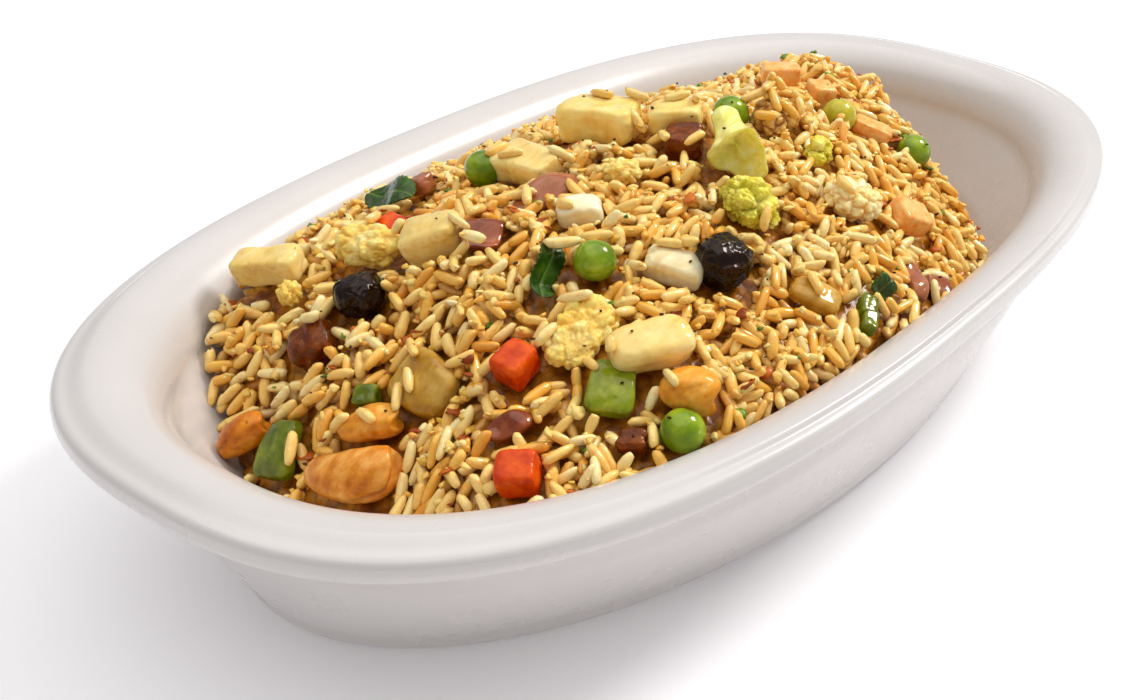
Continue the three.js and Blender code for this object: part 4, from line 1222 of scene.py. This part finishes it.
def place_crumbs(bed, seed, count, sizes, sink, flat, over_food):
    """Crumbs on whatever surface lies under them, clear of the larger pieces unless `over_food`."""
    chance = random.Random(seed)
    crumbs = []
    while len(crumbs) < count:
        x, y = chance.uniform(-104, 100), chance.uniform(-56, 56)
        i, j = bed.index(x, y)
        if bed.goal[i, j] < 0 or (bed.covered[i, j] and not over_food):
            continue
        long = chance.uniform(*sizes)
        wide = long * chance.uniform(0.5, 0.9)
        crumbs.append({
            "place": (x, y, float(bed.top[i, j]) - sink * long + 0.1),
            "turn": (chance.uniform(-0.5, 0.5), chance.uniform(-0.5, 0.5), chance.uniform(0, 6.28)),
            "size": (long, wide, wide * flat),
            "pick": chance.randrange(crumb_kinds),
            "tone": chance.random(),
            "deep": 0.0,
        })
    return crumbs


def make_rice_and_crumbs(bed):
    """Scatters the laid grains in four layers by depth, then the crumbs."""
    tree = scatter_tree()
    grain_set = shape_collection("grain_shape", grain_shapes())
    crumb_set = shape_collection("crumb_shape", crumb_shapes())
    grains = lay_rice(bed)
    finish = rice_finish()
    grains.sort(key=lambda grain: grain["deep"])
    layers = ("top", "upper", "middle", "lower")
    share = -(-len(grains) // len(layers))
    for number, layer in enumerate(layers):
        part = grains[number * share:(number + 1) * share]
        strewn(f"rice_grains_{layer}", part, grain_set, tree, finish, "rice")
    egg = crumb_finish("egg_crumb", (250, 226, 140), (222, 170, 58))
    pepper = crumb_finish("black_pepper", (70, 44, 24), (20, 10, 4))
    spice = crumb_finish("fried_flake", (206, 108, 34), (132, 48, 10))
    herb = crumb_finish("herb_bit", (130, 164, 40), (62, 100, 14))
    crumbs = (
        # name, finish, slot, seed, count, sizes, sink, flatness, over the food
        ("broken_rice", finish, "rice", 7, 900, (0.9, 2.4), 0.35, 0.8, False),
        ("egg_crumbs", egg, "egg", 3, 380, (1.0, 3.0), 0.3, 0.7, False),
        ("pepper_specks", pepper, "browned_piece", 4, 200, (0.4, 0.9), 0.2, 0.7, True),
        ("fried_flakes", spice, "browned_piece", 5, 170, (1.0, 3.4), 0.25, 0.4, False),
        ("herb_bits", herb, "herb_leaf", 6, 70, (0.9, 2.4), 0.25, 0.5, False),
    )
    for name, finish, slot, *rule in crumbs:
        strewn(name, place_crumbs(bed, *rule), crumb_set, tree, finish, slot)


# Setting

def floor_finish():
    f = Finish("pale_floor")
    colour = f.blend(f.cloud(60, 2), (243, 241, 243), (240, 238, 240))
    return f.finish(
        Base_Color=colour, Roughness=0.9, Specular_IOR_Level=0.1,
        Emission_Color=(1, 0.99, 1, 1), Emission_Strength=0.15)


def make_setting():
    half = 2500
    corners = [(-half, -half, 0), (half, -half, 0), (half, half, 0), (-half, half, 0)]
    floor = new_piece("floor", corners, [(0, 1, 2, 3)], floor_finish())

    def lamp(name, place, size, power, colour=(1, 1, 1)):
        light = bpy.data.lights.new(name, "AREA")
        light.shape, light.size, light.energy, light.color = "DISK", size, power, colour
        holder = linked(bpy.data.objects.new(name, light))
        holder.location = place
        holder.rotation_euler = (-Vector(place)).to_track_quat("-Z", "Y").to_euler()

    lamp("key_light", (0.94, -0.4, 1.0), 0.42, 13.5, (1.0, 0.985, 0.965))
    lamp("overhead_light", (0.05, 0.15, 1.5), 2.2, 15.5)
    world = bpy.data.worlds.new("studio")
    world.use_nodes = True
    sky = world.node_tree.nodes["Background"].inputs
    sky["Color"].default_value = (1, 0.995, 1, 1)
    sky["Strength"].default_value = 0.4
    bpy.context.scene.world = world


# Camera at the photograph's viewing angle
camera_place = (-205.44, -164.63, 164.55)
camera_right = (0.5681, -0.8223, 0.0328)
camera_up = (0.4556, 0.3475, 0.8196)
photo_width, photo_height = 1144, 700
focal_pixels = 1370.97
centre_column, centre_row = 777.9, 441.5
sensor_width = 36


def make_camera():
    data = bpy.data.cameras.new("camera")
    data.sensor_width = sensor_width
    data.lens = focal_pixels / photo_width * sensor_width
    data.shift_x = (photo_width / 2 - centre_column) / photo_width
    data.shift_y = (centre_row - photo_height / 2) / photo_width
    data.clip_start, data.clip_end = 0.01, 20
    right, up = Vector(camera_right).normalized(), Vector(camera_up).normalized()
    back = right.cross(up)
    camera = linked(bpy.data.objects.new("camera", data))
    camera.matrix_world = Matrix((
        (right.x, up.x, back.x, camera_place[0] * MM),
        (right.y, up.y, back.y, camera_place[1] * MM),
        (right.z, up.z, back.z, camera_place[2] * MM),
        (0, 0, 0, 1),
    ))
    bpy.context.scene.camera = camera
    bpy.context.scene.view_settings.view_transform = "Standard"


make_dish()
make_core()
bed = Bed()
make_food(bed, food_finishes())
make_rice_and_crumbs(bed)
make_setting()
make_camera()
